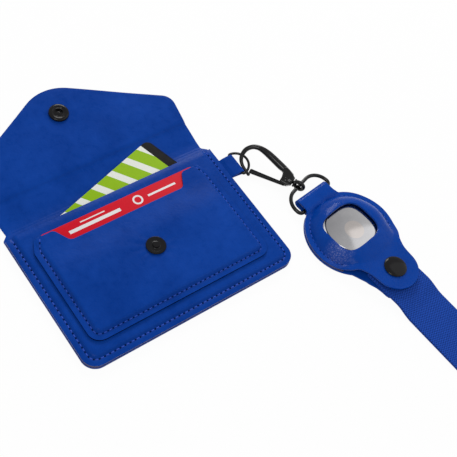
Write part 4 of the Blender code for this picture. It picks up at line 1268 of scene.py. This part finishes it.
    def snaps(self) -> None:
        """Turns the stud on the pocket and the socket and cap on the flap."""
        spot = Matrix.Translation((*self.snap, 0))
        flap = self.flap_frame @ Matrix.Translation((0, self.flap_snap, 0))
        for name, node, body, at, rings in (
                ("pocket_stud", "pocket_snap_stud", Body.WALLET, spot,
                 mm((4.6, 7.42), (4.75, 7.52), (4.75, 7.70), (4.62, 7.86), (4.2, 7.92), (3.6, 7.88), (3.0, 7.76),
                    (2.3, 7.76), (1.85, 7.86), (1.7, 8.05), (1.7, 8.6), (1.6, 8.74), (1.3, 8.8), (0.6, 8.82))),
                ("flap_socket", "flap_snap_socket", Body.FLAP, flap,
                 mm((4.8, -3.85), (5.0, -3.7), (5.0, -3.2), (4.8, -2.85), (4.4, -2.63), (3.8, -2.55), (3.3, -2.6),
                    (3.0, -2.8), (2.7, -2.95), (2.4, -2.9), (2.2, -2.7), (2.02, -2.7), (2.0, -2.9), (2.0, -3.6),
                    (1.3, -3.7), (0.9, -3.55), (0.4, -3.5))),
                ("flap_cap", "flap_snap_cap", Body.FLAP, flap,
                 mm((5.4, -5.95), (5.6, -6.05), (5.6, -6.3), (5.4, -6.5), (4.8, -6.68), (3.6, -6.8), (1.8, -6.85),
                    (0.6, -6.85)))):
            self.dress(self.turned(name, rings, at), "snap_black", body, [node], TURNED_ANGLE)

    def tab(self) -> None:
        """Folds the ring tab round the small ring's bar."""
        path = mm((50.5, 1.86), (55.5, 1.86), (58.5, 3.0))
        path += arc(self.tab_bend, pi * 0.55, pi * -0.55, 16, (SMALL_RING_AT[0], SMALL_RING_AT[2]))
        path += mm((58.5, 1.9), (57.0, 1.86))

        def place(share: float, spot: Vector) -> Vector:
            """Puts a grid point on the folded strip."""
            return Vector((spot.x, self.tab_y + self.tab_half * (2 * share - 1), spot.y))

        item = self.grid("ring_tab_strip", shares(16), evenly(path, 0.0003), place)
        self.thicken(item, self.tab_leather, 0.00015, 0.0)
        self.dress(item, "leather_blue", Body.WALLET, ["ring_tab"], FOLD_ANGLE)

    def build(self) -> None:
        """Builds the whole wallet."""
        for make in (self.cover, self.lining, self.main_pocket, self.front_pocket, self.seams, self.snaps, self.tab):
            make()


@dataclass
class Cards(Section):
    """The red card in the front pocket and the turned green card in the main pocket."""

    half: Point = (0.0428, 0.027)
    thickness: float = 0.00076
    corner: float = 0.00318
    red_z: float = 0.00456
    green_z: float = 0.0023

    def build(self) -> None:
        """Punches both cards with their soft edges."""
        x, y = self.half
        outline = rounded([(x, y, self.corner), (-x, y, self.corner), (-x, -y, self.corner), (x, -y, self.corner)])
        for name, centre, turn, low, body, node in (
                ("upright_card", RED_CENTRE, 0.0, self.red_z, Body.RED_CARD, "red_card"),
                ("turned_card", GREEN_CENTRE, GREEN_TURN, self.green_z, Body.GREEN_CARD, "green_card")):
            at = Matrix.Translation((*centre, low)) @ Matrix.Rotation(turn, 4, "Z")
            item = self.slab(name, outline, 0, self.thickness, FINE_EDGE, at)
            self.dress(item, node + "_face", body, [node])


@dataclass
class HookChain(Section):
    """The small ring, the snap hook with its gate, the swivel eye and the large ring."""

    small_ring_size: Point = (0.0066, 0.001)
    small_ring_pitch: float = radians(9)
    small_wire: float = 0.00065
    large_wire: float = 0.00095
    eye_wire: float = 0.00102
    rough_skin: float = 0.00022
    fine_skin: float = 0.00017
    eye_skin: float = 0.00012
    slot_half: float = 0.00095
    gate_half: float = 0.0007
    leaf_half: float = 0.0006
    hook_place: Triple = (0.0835, -0.00625, 0.0038)
    azimuth: float = radians(115)
    pitch: float = radians(3)
    roll: float = radians(28)
    length: float = 0.0337
    width: float = 0.0160
    spine: float = 0.0019
    spine_more: float = 0.00005
    spine_shares: tuple[Triple, ...] = (
        (0.208, 0.100, 1.0), (0.326, 0.181, 1.0), (0.504, 0.269, 1.0), (0.653, 0.338, 0.95), (0.757, 0.366, 0.82),
        (0.837, 0.359, 0.68), (0.908, 0.309, 0.63), (0.958, 0.219, 0.60), (0.991, 0.100, 0.60),
        (1.000, -0.025, 0.58), (0.993, -0.150, 0.54), (0.964, -0.275, 0.49), (0.917, -0.372, 0.44),
        (0.861, -0.438, 0.40), (0.801, -0.497, 0.38), (0.763, -0.538, 0.36))
    block_start: float = 0.0049
    block_length: float = 0.0060
    block_half: float = 0.0035
    block_thickness: float = 0.0048
    block_shares: tuple[Point, ...] = ((0.10, -0.69), (0.10, 0.69), (0.77, 1.20), (1.18, 1.26), (1.12, 0.34),
                                       (1.00, -0.29), (1.00, -1.03), (0.35, -1.03))
    pin: Point = (0.0084, 0.0013)
    gate_root: float = 0.00135
    gate_shares: tuple[Triple, ...] = ((-1.0, 1.0, 0.9), (1.0, 1.0, 0.9), (1.5, -1.2, 0.5), (-0.6, -2.1, 0.6))
    gate_end: Point = (0.0178, 0.0053)
    gate_tip_half: float = 0.0012
    gate_tip_corner: float = 0.0006
    gate_face_least: float = 0.000004
    eye_half: float = 0.0023

    @property
    def hook_frame(self) -> Matrix:
        """The hook's own frame, its X axis towards the nose."""
        return turned_frame(self.hook_place, self.azimuth, self.pitch, self.roll)

    @property
    def pin_frame(self) -> Matrix:
        """The gate pin's frame."""
        return self.hook_frame @ Matrix.Translation((*self.pin, 0))

    @staticmethod
    def softened(stops: Sequence[Triple], steps: int) -> list[Triple]:
        """Runs a smooth curve through points.

        Args:
            stops: The points.
            steps: The number of new points between two of them.

        Returns:
            The curve's points.
        """
        made: list[Triple] = []
        last = len(stops) - 1
        for index in range(last):
            around = [stops[min(max(index + shift, 0), last)] for shift in (-1, 0, 1, 2)]
            for t in shares(steps)[:-1]:
                made.append(tuple(0.5 * (2 * b + (c - a) * t + (2 * a - 5 * b + 4 * c - d) * t * t
                                         + (3 * b - a - 3 * c + d) * t ** 3) for a, b, c, d in zip(*around)))
        return made + [tuple(stops[-1])]

    def ring(self, name: str, loop: Sequence[Point], radius: float, at: Matrix, sides: int, body: Body,
             node: str) -> None:
        """Bends a wire ring.

        Args:
            name: The ring's name.
            loop: The points of its middle line.
            radius: The wire's radius.
            at: The frame that it lies in.
            sides: The roundness of the wire's section.
            body: The body that it rides on.
            node: The frame's node that it takes the place of.
        """
        item = self.wire(name, [(x, y, 0) for x, y in loop], [radius], at, True, sides)
        self.dress(item, "metal_black", body, [node], METAL_ANGLE)

    def small_ring(self) -> None:
        """Bends the small ring in the wallet's tab."""
        self.ring("small_ring_wire", d_loop(*self.small_ring_size), self.small_wire,
                  turned_frame(SMALL_RING_AT, 0, self.small_ring_pitch), 4, Body.SMALL_RING, "small_d_ring")

    def hook(self) -> None:
        """Casts the hook: spine, block and collar in one, with the gate's slot and the swivel's bore."""
        stops = [(u * self.length, -v * self.width, size * self.spine) for u, v, size in self.spine_shares]
        curve = self.softened(stops, 5)
        spine = self.wire("hook_spine", [(x, y, 0) for x, y, size in curve],
                          [size + self.spine_more for x, y, size in curve], sides=6)
        start, half = self.block_start, self.block_thickness / 2
        outline = [(start + u * self.block_length, -v * self.block_half) for u, v in self.block_shares]
        block = self.slab("hook_block", outline, -half, half, 0.0007, segments=3)
        rings = mm((2.1, 0), (2.5, 0.3), (2.6, 1), (2.6, 2.6), (2.2, 3.1))
        collar = self.turned("hook_collar", [(radius, start + rise) for radius, rise in rings], ALONG_X)
        tip = self.turned("hook_tip", mm((0.3, -0.8), (0.8, -0.5), (0.9, 0), (0.8, 0.5), (0.3, 0.8)),
                          Matrix.Translation((0.02575, 0.00845, 0)), 24)
        item = self.join("hook_casting", [spine, block, collar, tip])
        self.melt(item, self.rough_skin)
        slot = self.slab("gate_slot", mm((7, -1.7), (17, -1.7), (17, 7), (7, 7)), -self.slot_half,
                         self.slot_half, FINE_EDGE)
        self.cut(item, slot)
        self.cut(item, self.turned("swivel_bore", mm((1.1, 3.8), (1.1, 5.9), (1.7, 5.9), (1.7, 7.1)), ALONG_X, 32))
        self.melt(item, self.fine_skin, 5)
        item.data.transform(self.hook_frame)
        self.dress(item, "metal_black", Body.HOOK, ["hook_body"], METAL_ANGLE)

    def gate(self) -> None:
        """Stamps the sprung lever that shuts the hook, with its pin and leaf."""
        size, (end, drop) = self.gate_root, self.gate_end
        corners = [(u * size, -v * size, share * size) for u, v, share in self.gate_shares]
        tip = [(end, drop + side * self.gate_tip_half, self.gate_tip_corner) for side in (-1, 1)]
        outline = rounded(corners[:3] + tip + corners[3:], steps=5)
        item = self.slab("gate_lever", outline, -self.gate_half, self.gate_half, 0.00022)
        self.edit(item)
        bpy.ops.mesh.select_all(action="DESELECT")
        bpy.ops.object.mode_set(mode="OBJECT")
        for face in item.data.polygons:
            face.select = abs(face.normal.z) > 0.999 and face.area > self.gate_face_least
        bpy.ops.object.mode_set(mode="EDIT")
        bpy.ops.mesh.inset(thickness=0.0003)
        bpy.ops.transform.resize(value=(1, 1, 0.45), center_override=(0, 0, 0))
        bpy.ops.object.mode_set(mode="OBJECT")
        item.data.transform(self.pin_frame)
        self.dress(item, "metal_black", Body.GATE, ["hook_gate"], PRESSED_ANGLE)
        head = mm((0.8, -2.9), (1.1, -2.7), (1.1, -2.5), (0.6, -2.5), (0.6, 2.5), (1.1, 2.5), (1.1, 2.7), (0.8, 2.9))
        item = self.turned("gate_rivet", head, self.pin_frame, 32)
        self.dress(item, "metal_black", Body.HOOK, ["gate_pin"], PRESSED_ANGLE)
        leaf = mm((7.3, -1.4), (8.85, -1.24), (10.4, -0.9), (10.4, -0.65), (8.85, -0.99), (7.3, -1.15))
        item = self.slab("gate_leaf", leaf, -self.leaf_half, self.leaf_half, 0.00005, self.hook_frame, 1)
        self.dress(item, "steel", Body.HOOK, ["gate_spring"], PRESSED_ANGLE)

    def eye(self) -> None:
        """Bends the swivel's eye with its shouldered stem."""
        half, corner = self.eye_half, self.eye_half * 0.95
        loop = rounded([(0.0014 + x * half, y * half, corner) for x, y in ((1, 1), (-1, 1), (-1, -1), (1, -1))])
        eye = self.wire("eye_ring", [(x, 0, z) for x, z in loop], [self.eye_wire], closed=True)
        stem = self.turned("eye_stem", mm((1.2, 3.1), (2.1, 3.6), (2.2, 4.0), (2.1, 4.5), (0.8, 4.6), (0.8, 6.2),
                                          (1.4, 6.2), (1.4, 6.7)), ALONG_X, 32)
        item = self.join("eye_casting", [eye, stem])
        self.melt(item, self.eye_skin, 3)
        item.data.transform(turned_frame(self.hook_place, self.azimuth, self.pitch))
        self.dress(item, "metal_black", Body.SWIVEL, ["swivel_eye"], METAL_ANGLE)

    def large_ring(self) -> None:
        """Bends the wide ring between the eye and the holder's tab."""
        bar = HOLDER_FRAME @ Vector((0, 0.0244, 0.00215))
        at = turned_frame(bar, radians(18)) @ Matrix.Rotation(radians(7.4), 4, "X")
        loop = rounded(mm((-13.2, 0, 2.2), (13.2, 0, 2.2), (13.2, 10.4, 7.8), (-13.2, 10.4, 7.8)), steps=14)
        self.ring("large_ring_wire", loop, self.large_wire, at, 6, Body.LARGE_RING, "large_d_ring")

    def build(self) -> None:
        """Builds the whole chain."""
        for make in (self.small_ring, self.hook, self.gate, self.eye, self.large_ring):
            make()


@dataclass
class Holder(Section):
    """The round tracker holder: back with its tail, domed front with tab and tongue, seam and tracker."""

    radius: float = 0.02325
    leather: float = 0.0010
    seam_z: float = 0.0022
    seam_radius: float = 0.02075
    seam_depth: float = 0.00014
    seam_width: float = 0.0005
    thread_sink: float = 0.00012
    pitch: float = 0.0025
    thread: Point = (0.0019, 0.00055)
    hole: Point = (0.0008, 0.00065)
    filler_z: Point = (0.0013, 0.0019)
    filler_inset: float = 0.0002
    mouth_z: float = 0.0058
    rim_z: float = 0.0086
    dome_power: float = 2.5
    mouth_power: float = 1.15
    mouth_degrees: float = 34
    waves: float = 0.00007
    waves_from: float = 0.012
    waves_ramp: float = 0.004
    border: float = 0.02005
    window: float = 0.0103
    window_half: Point = (0.0122, 0.0109)
    window_at: Point = (-0.0021, 0.0007)
    window_squareness: float = 3.4
    tab_half: float = 0.0100
    tab_end: float = 0.0268
    tab_reach: float = 0.0293
    tab_z: float = 0.0034
    tab_low: float = 0.0010
    tab_from: float = 0.0190
    tab_ramp: float = 0.0028
    tab_side: float = 0.0135
    tab_side_ramp: float = 0.003
    outline_pitch: float = 0.0007
    join_reach: float = 0.00006
    tongue: float = 0.01175
    snap_y: float = -0.0278
    stops: tuple[float, ...] = (0.0, 0.012, 0.03, 0.07, 0.12, 0.18, 0.25, 0.32, 0.39, 0.46, 0.53, 0.60, 0.66, 0.71,
                                0.75, 0.79, 0.83, 0.87, 0.905, 0.935, 0.96, 0.98, 1.0)
    tracker: float = 0.0160
    cover_top: float = 0.0084
    cover_drop: float = 0.0015

    def outline(self) -> list[Vector]:
        """Draws the front leather's outline, from the tab's right corner clockwise round to its left corner.

        Returns:
            Points about 0.7 mm apart, the two corners among them.
        """
        right: list[Triple] = [(self.tab_half, self.tab_end, 0), (self.tab_half + 0.0001, 0.0211, 0.0035)]
        right += [(x, y, 0) for x, y in arc(self.radius, *rad(58, -42), 25)]
        right += [(0.0143, -0.0183, 0.007), (0.0123, -0.0230, 0.01)]
        right += [(x, y, 0) for x, y in arc(self.tongue, *rad(0, -90), 15, (0, self.snap_y))]
        half = [Vector(point) for point in rounded(right, closed=False)]
        return evenly(half + [Vector((-point.x, point.y)) for point in reversed(half[:-1])],
                      self.outline_pitch)

    def window_edge(self, towards: Vector | Point) -> Vector:
        """Finds the window's edge in a direction from its middle.

        Args:
            towards: The direction.

        Returns:
            The point of the edge.
        """
        (wide, tall), power = self.window_half, self.window_squareness
        aim = Vector(towards).normalized()
        spread = abs(aim.x / wide) ** power + abs(aim.y / tall) ** power
        return Vector(self.window_at) + aim / spread ** (1 / power)

    def height(self, x: float, y: float) -> float:
        """Finds the front leather's underside over a point of the holder.

        Args:
            x: Across the holder.
            y: Towards the tab.

        Returns:
            The height above the table.
        """
        reach = hypot(x, y)
        outside = 1 - min(max((self.border - reach) / (self.border - self.window), 0.0), 1.0)
        dome = mix(self.seam_z, self.rim_z, 1 - outside ** self.dome_power)
        mouth = mix(self.mouth_z, self.rim_z, 1 - outside ** self.mouth_power)
        lift = smooth(2 - degrees(abs(atan2(x, -y))) / self.mouth_degrees)
        near_tab = smooth((y - self.tab_from) / self.tab_ramp) * smooth((self.tab_side - abs(x)) / self.tab_side_ramp)
        z = max(mix(dome, mouth, lift), mix(self.seam_z, self.tab_z, near_tab))
        dip = self.seam_depth * bell(reach - self.seam_radius, self.seam_width)
        return z - dip * (1 - near_tab) * (1 - lift)

    def on_dome(self, spot: Vector, waves: float = 1.0) -> Vector:
        """Lifts a flat point onto the front leather's softly waved underside.

        Args:
            spot: The flat point.
            waves: The share of the waves that the leather has there.

        Returns:
            The point on the leather.
        """
        free = smooth((spot.length - self.waves_from) / self.waves_ramp)
        wave = self.waves * sin(9 * atan2(spot.y, spot.x) + 1.3) * free
        return Vector((spot.x, spot.y, self.height(spot.x, spot.y) + wave * waves))

    def front(self) -> None:
        """Forms the front leather in one sheet: dome, tab wrapped round the bar, and tongue."""
        outline = self.outline()
        first, last = outline[0], outline[-1]
        right, left = self.window_edge(first), self.window_edge(last)
        start, end = atan2(left.y, left.x), atan2(right.y, right.x)

        def place(edge: Vector, share: float) -> Vector:
            """Puts a grid point on the sheet's underside, from the window out to the edge."""
            return self.on_dome(self.window_edge(edge).lerp(edge, share))

        def place_tab(u: float, share: float) -> Vector:
            """Puts a grid point between the tab's corners.

            Args:
                u: From the left corner to the right one.
                share: From the window out to the edge.

            Returns:
                The point.
            """
            spot = left.lerp(last, share).lerp(right.lerp(first, share), u)
            angle = mix(start, end, u)
            bulge = 1 - smooth(share / 0.9)
            rim = self.window_edge((cos(angle), sin(angle)))
            spot.y += (rim.y - left.lerp(right, u).y) * bulge
            return self.on_dome(spot, bulge if 0 < u < 1 else 1.0)

        def place_wrap(u: float, spot: Point) -> Vector:
            """Puts a grid point on the strip that wraps round the ring's bar."""
            return Vector((mix(-self.tab_half, self.tab_half, u), *spot))

        across = shares(24)
        item = self.join("holder_front_leather", [self.grid("front_sheet", outline, self.stops, place),
                                                  self.grid("front_middle", across, self.stops, place_tab),
                                                  self.grid("tab_strip", across, self.wrap_path(), place_wrap)])
        self.edit(item)
        bpy.ops.mesh.remove_doubles(threshold=self.join_reach)
        self.outwards(item)
        top = [face for face in item.data.polygons if hypot(face.center.x, face.center.y) < 0.018]
        if sum(face.normal.z for face in top) < 0:
            item.data.flip_normals()
        self.thicken(item, self.leather, SOFT_EDGE, use_even_offset=False)
        item.data.transform(HOLDER_FRAME)
        self.dress(item, "leather_holder", angle=FOLD_ANGLE)
        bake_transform(item)
        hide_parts("holder_front", "holder_tab", "holder_tongue")

    def wrap_path(self) -> list[Point]:
        """Runs the tab's leather over the bar, round the end and back under it.

        Returns:
            Y and Z of the leather's inner side, from the top.
        """
        bend = (self.tab_z - self.tab_low) / 2
        centre = (self.tab_reach - self.leather - bend, self.tab_low + bend)
        round_end = arc(bend, pi / 2, -pi / 2, 12, centre)[1:]
        return [(self.tab_end, self.tab_z)] + round_end + [(y, self.tab_low) for y in mm(25, 23, 21.2)]

    def back(self) -> None:
        """Cuts the back leather with its tail and the filler strips in the seam."""
        right = arc(self.radius, *rad(59, -46), 35)
        right += mm((13.45, -23.5), (13.1, -25.3), (11.8, -28.8), (11.3, -32), (11.2, -34.5), (10.8, -36.2),
                    (9.8, -37))
        loop = right + [(-x, y) for x, y in reversed(right)]
        item = self.slab("back_leather", loop[::-1], 0, self.leather, SOFT_EDGE, HOLDER_FRAME)
        self.dress(item, "leather_holder", Body.HOLDER, ["holder_back"], FOLD_ANGLE)
        ends = rad(59, -34)
        for name, side in SIDES:
            outer, inner = arc(self.radius - self.filler_inset, *ends, 31), arc(self.border, *ends, 31)
            strip = [(side * x, y) for x, y in outer + inner[::-1]]
            item = self.slab("seam_filler_" + name, strip, *self.filler_z, FINE_EDGE, HOLDER_FRAME)
            self.dress(item, "leather_core", Body.HOLDER, ["holder_welt_" + name])

    def seams(self) -> None:
        """Sews the seam round both sides, from the tab to the mouth."""
        for name, side in SIDES:
            line = [(side * x, y) for x, y in arc(self.seam_radius, *rad(60, -36), 48)]
            path = [HOLDER_FRAME @ Vector((x, y, self.height(x, y) + self.leather - self.thread_sink))
                    for x, y in line]
            self.sew(("holder_seam_" + name, "holder_holes_" + name), path, self.pitch,
                     (self.thread, self.hole), Body.HOLDER)

    def turned_pieces(self) -> None:
        """Turns the tracker's white base and its plain steel cover, and the domed cap on the tongue."""
        base = mm((14.6, 1.3), (15.4, 1.5), (15.9, 2), (16, 2.5), (16, 4.6), (15.9, 5.6), (15.7, 6.2), (15.3, 6.7),
                  (14.9, 6.9), (14.6, 6.95), (14.4, 6.8), (14.4, 6.0))
        cover = mm((14.1, 6.2), (14.2, 6.7), (14.1, 7.0))
        cover += [(self.tracker * share, self.cover_top - self.cover_drop * share ** 2) for share in
                  (0.865, 0.84, 0.80, 0.75, 0.70, 0.65, 0.60, 0.51, 0.42, 0.33, 0.24, 0.15, 0.07, 0.02)]
        cap = mm((5.3, 7.0), (5.6, 7.1), (5.6, 7.3), (5.4, 7.52), (5.0, 7.68), (4.3, 7.84), (3.4, 7.94), (2.2, 8),
                 (0.8, 8.02))
        snap = HOLDER_FRAME @ Matrix.Translation((0, self.snap_y, 0))
        for name, rings, at, steps, finish, body, node in (
                ("tracker_shell", base, HOLDER_FRAME, 96, "white_plastic", Body.HOLDER, "tracker_base"),
                ("tracker_plate", cover, HOLDER_FRAME, 128, "tracker_steel", Body.HOLDER, "tracker_cover"),
                ("tongue_cap", cap, snap, 64, "snap_black", Body.TONGUE, "holder_snap_cap")):
            self.dress(self.turned(name, rings, at, steps), finish, body, [node], TURNED_ANGLE)

    def build(self) -> None:
        """Builds the whole holder."""
        for make in (self.front, self.back, self.seams, self.turned_pieces):
            make()


@dataclass
class Strap(Section):
    """The wrist strap: one webbing, folded into a loop and sewn on the holder's tail."""

    width: float = 0.0232
    webbing: float = 0.0007
    start: float = 0.04105
    root: float = 0.0215
    length: float = 0.1620
    bulge_length: float = 0.0320
    bulge_height: float = 0.0092
    drop: float = 0.0100
    turn: float = radians(-2.3)
    lower: float = 0.00225
    upper: float = 0.00325
    sewn_end: float = -0.002
    rib: float = 0.00005
    rib_scale: float = 2900
    row_pitch: float = 0.0011

    def path(self) -> list[Point]:
        """Runs the webbing's middle line: out along the table, round the loop's end and back.

        Returns:
            Distance from the loop's start and height.
        """
        half = self.webbing / 2
        rest_upper = half + self.upper - self.lower
        bulge = (self.bulge_height - self.webbing) / 2
        turn = self.length - half - bulge
        near = self.length - self.bulge_length
        line = [(self.root - self.start, self.lower), (self.sewn_end, self.lower)]
        line += [(self.drop * share, mix(self.lower, half, smooth(share))) for share in shares(12)]
        line += arc(bulge, -pi / 2, pi / 2, 20, (turn, half + bulge))
        line += [(mix(turn, near, share), mix(half + 2 * bulge, rest_upper, smooth(share)))
                 for share in shares(24)[1:]]
        line += [(self.drop * (1 - share), mix(rest_upper, self.upper, smooth(share))) for share in shares(12)]
        return line + [(self.sewn_end, self.upper), (self.root - self.start, self.upper)]

    def build(self) -> None:
        line = evenly(self.path(), self.row_pitch)
        total = sum((two - one).length for one, two in zip(line, line[1:]))
        at = HOLDER_FRAME @ Matrix.Translation((0, -self.start, 0))

        def place(share: float, spot: Vector) -> Vector:
            """Puts a grid point on the webbing's middle.

            Args:
                share: Across the webbing.
                spot: The middle line's point.

            Returns:
                The point.
            """
            across = self.width * (share - 0.5)
            rib = self.rib * cos(across * self.rib_scale)
            return at @ Vector((across + max(spot.x, 0.0) * tan(self.turn), -spot.x, spot.y + rib))

        item = self.grid("strap_webbing", shares(32), line, place, (self.width, total))
        self.thicken(item, self.webbing - 0.0001, 0.00012, 0.0)
        self.dress(item, "webbing_blue", angle=FOLD_ANGLE)
        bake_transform(item)
        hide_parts("strap_root", "wrist_strap")
        LOG.info("strap webbing: %.4f m long", total)


@dataclass
class Studio:
    """Camera, floor and soft light."""

    place: Triple = (-0.15684, -0.16476, 0.36436)
    right: Triple = (0.800349, -0.571167, 0.182236)
    up: Triple = (0.404982, 0.739182, 0.538144)
    back: Triple = (-0.442075, -0.356901, 0.822916)
    lens: float = 73.1
    sensor: float = 36.0
    clip: float = 0.01
    floor_size: float = 6.0
    floor_z: float = -0.00005
    floor_white: float = 0.92
    floor_roughness: float = 0.9
    floor_seen: float = 0.95
    room_light: float = 0.33
    lamps_aim: Triple = (0.04, -0.03, 0.0)
    lamps: tuple[tuple[str, Triple, float, float], ...] = (
        ("front_lamp", (-0.37, -0.20, 0.72), 0.30, 1.9), ("side_lamp", (0.62, -0.30, 0.55), 0.90, 1.9),
        ("back_lamp", (0.42, 0.62, 0.50), 0.32, 3.5))

    @staticmethod
    def hang(name: str, data: bpy.types.ID) -> Piece:
        """Puts a camera or a lamp into the scene.

        Args:
            name: Its name.
            data: What it is.

        Returns:
            Its object.
        """
        item = bpy.data.objects.new(name, data)
        bpy.context.scene.collection.objects.link(item)
        return item

    def camera(self) -> None:
        """Stands the camera where the photographer stood."""
        data = bpy.data.cameras.new("studio_camera")
        data.lens, data.sensor_width, data.clip_start = self.lens, self.sensor, self.clip
        axes = Matrix((self.right, self.up, self.back)).transposed().to_4x4()
        item = self.hang("studio_camera", data)
        item.matrix_world = Matrix.Translation(self.place) @ axes
        bpy.context.scene.camera = item

    def floor(self) -> None:
        """Lays the white floor, which glows for the rays that see it directly and keeps its shadows."""
        item = Section.primitive("studio_floor", bpy.ops.mesh.primitive_plane_add, size=self.floor_size,
                                 location=(0, 0, self.floor_z))
        material = bpy.data.materials.new("floor_white")
        material.use_nodes = True
        bench = NodeBench(material.node_tree)
        shader = material.node_tree.nodes["Principled BSDF"]
        bench.feed(shader.inputs["Base Color"], (self.floor_white, self.floor_white, self.floor_white, 1))
        bench.feed(shader.inputs["Roughness"], self.floor_roughness)
        glow = bench.add("Emission", {"Color": (1, 1, 1, 1), "Strength": 1.0})
        mixed = bench.add("MixShader", {0: bench.direct_rays() * self.floor_seen, 1: shader.outputs[0],
                                        2: glow.outputs[0]})
        bench.feed(material.node_tree.nodes["Material Output"].inputs[0], mixed.outputs[0])
        item.data.materials.append(material)

    def world(self) -> None:
        """Fills the room with even white light."""
        world = bpy.data.worlds.new("studio_world")
        bpy.context.scene.world = world
        world.use_nodes = True
        bench = NodeBench(world.node_tree)
        shade = world.node_tree.nodes["Background"].inputs
        bench.feed(shade["Color"], (1, 1, 1, 1))
        bench.feed(shade["Strength"], bench.scaled(bench.direct_rays(), self.room_light, 1.0))

    def hang_lamps(self) -> None:
        """Hangs the soft square lamps, which look at the holder; each has its place, size and power in watts."""
        for name, place, size, power in self.lamps:
            data = bpy.data.lights.new(name, "AREA")
            data.size, data.energy = size, power
            item = self.hang(name, data)
            item.location = place
            item.rotation_euler = (Vector(self.lamps_aim) - Vector(place)).to_track_quat("-Z", "Y").to_euler()

    def build(self) -> None:
        """Sets up the studio."""
        self.camera()
        self.floor()
        self.world()
        self.hang_lamps()
        bpy.context.scene.view_settings.view_transform = "Standard"


def carry_over(finish: bpy.types.Material) -> None:
    """Dresses the hidden press stud pieces that stay as they are in the frame.

    Args:
        finish: The finish of the press studs.
    """
    for name in ("pocket_snap_post", "holder_snap_stud", "holder_snap_post", "holder_snap_socket"):
        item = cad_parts[name]
        item.data.materials.clear()
        item.data.materials.append(finish)
        LOG.info("%s: kept from the frame", name)


def main() -> None:
    """Builds the whole card holder in order."""
    logging.basicConfig(level=logging.INFO, format="%(message)s")
    book = PatternBook()
    finishes = {finish.name: (finish.make(book), finish.slot) for finish in FINISHES}
    Studio().build()
    for section in (Wallet(finishes), Cards(finishes), HookChain(finishes), Holder(finishes), Strap(finishes)):
        section.build()
        LOG.info("%s: built", type(section).__name__)
    carry_over(finishes["snap_black"][0])


if __name__ == "__main__":
    main()
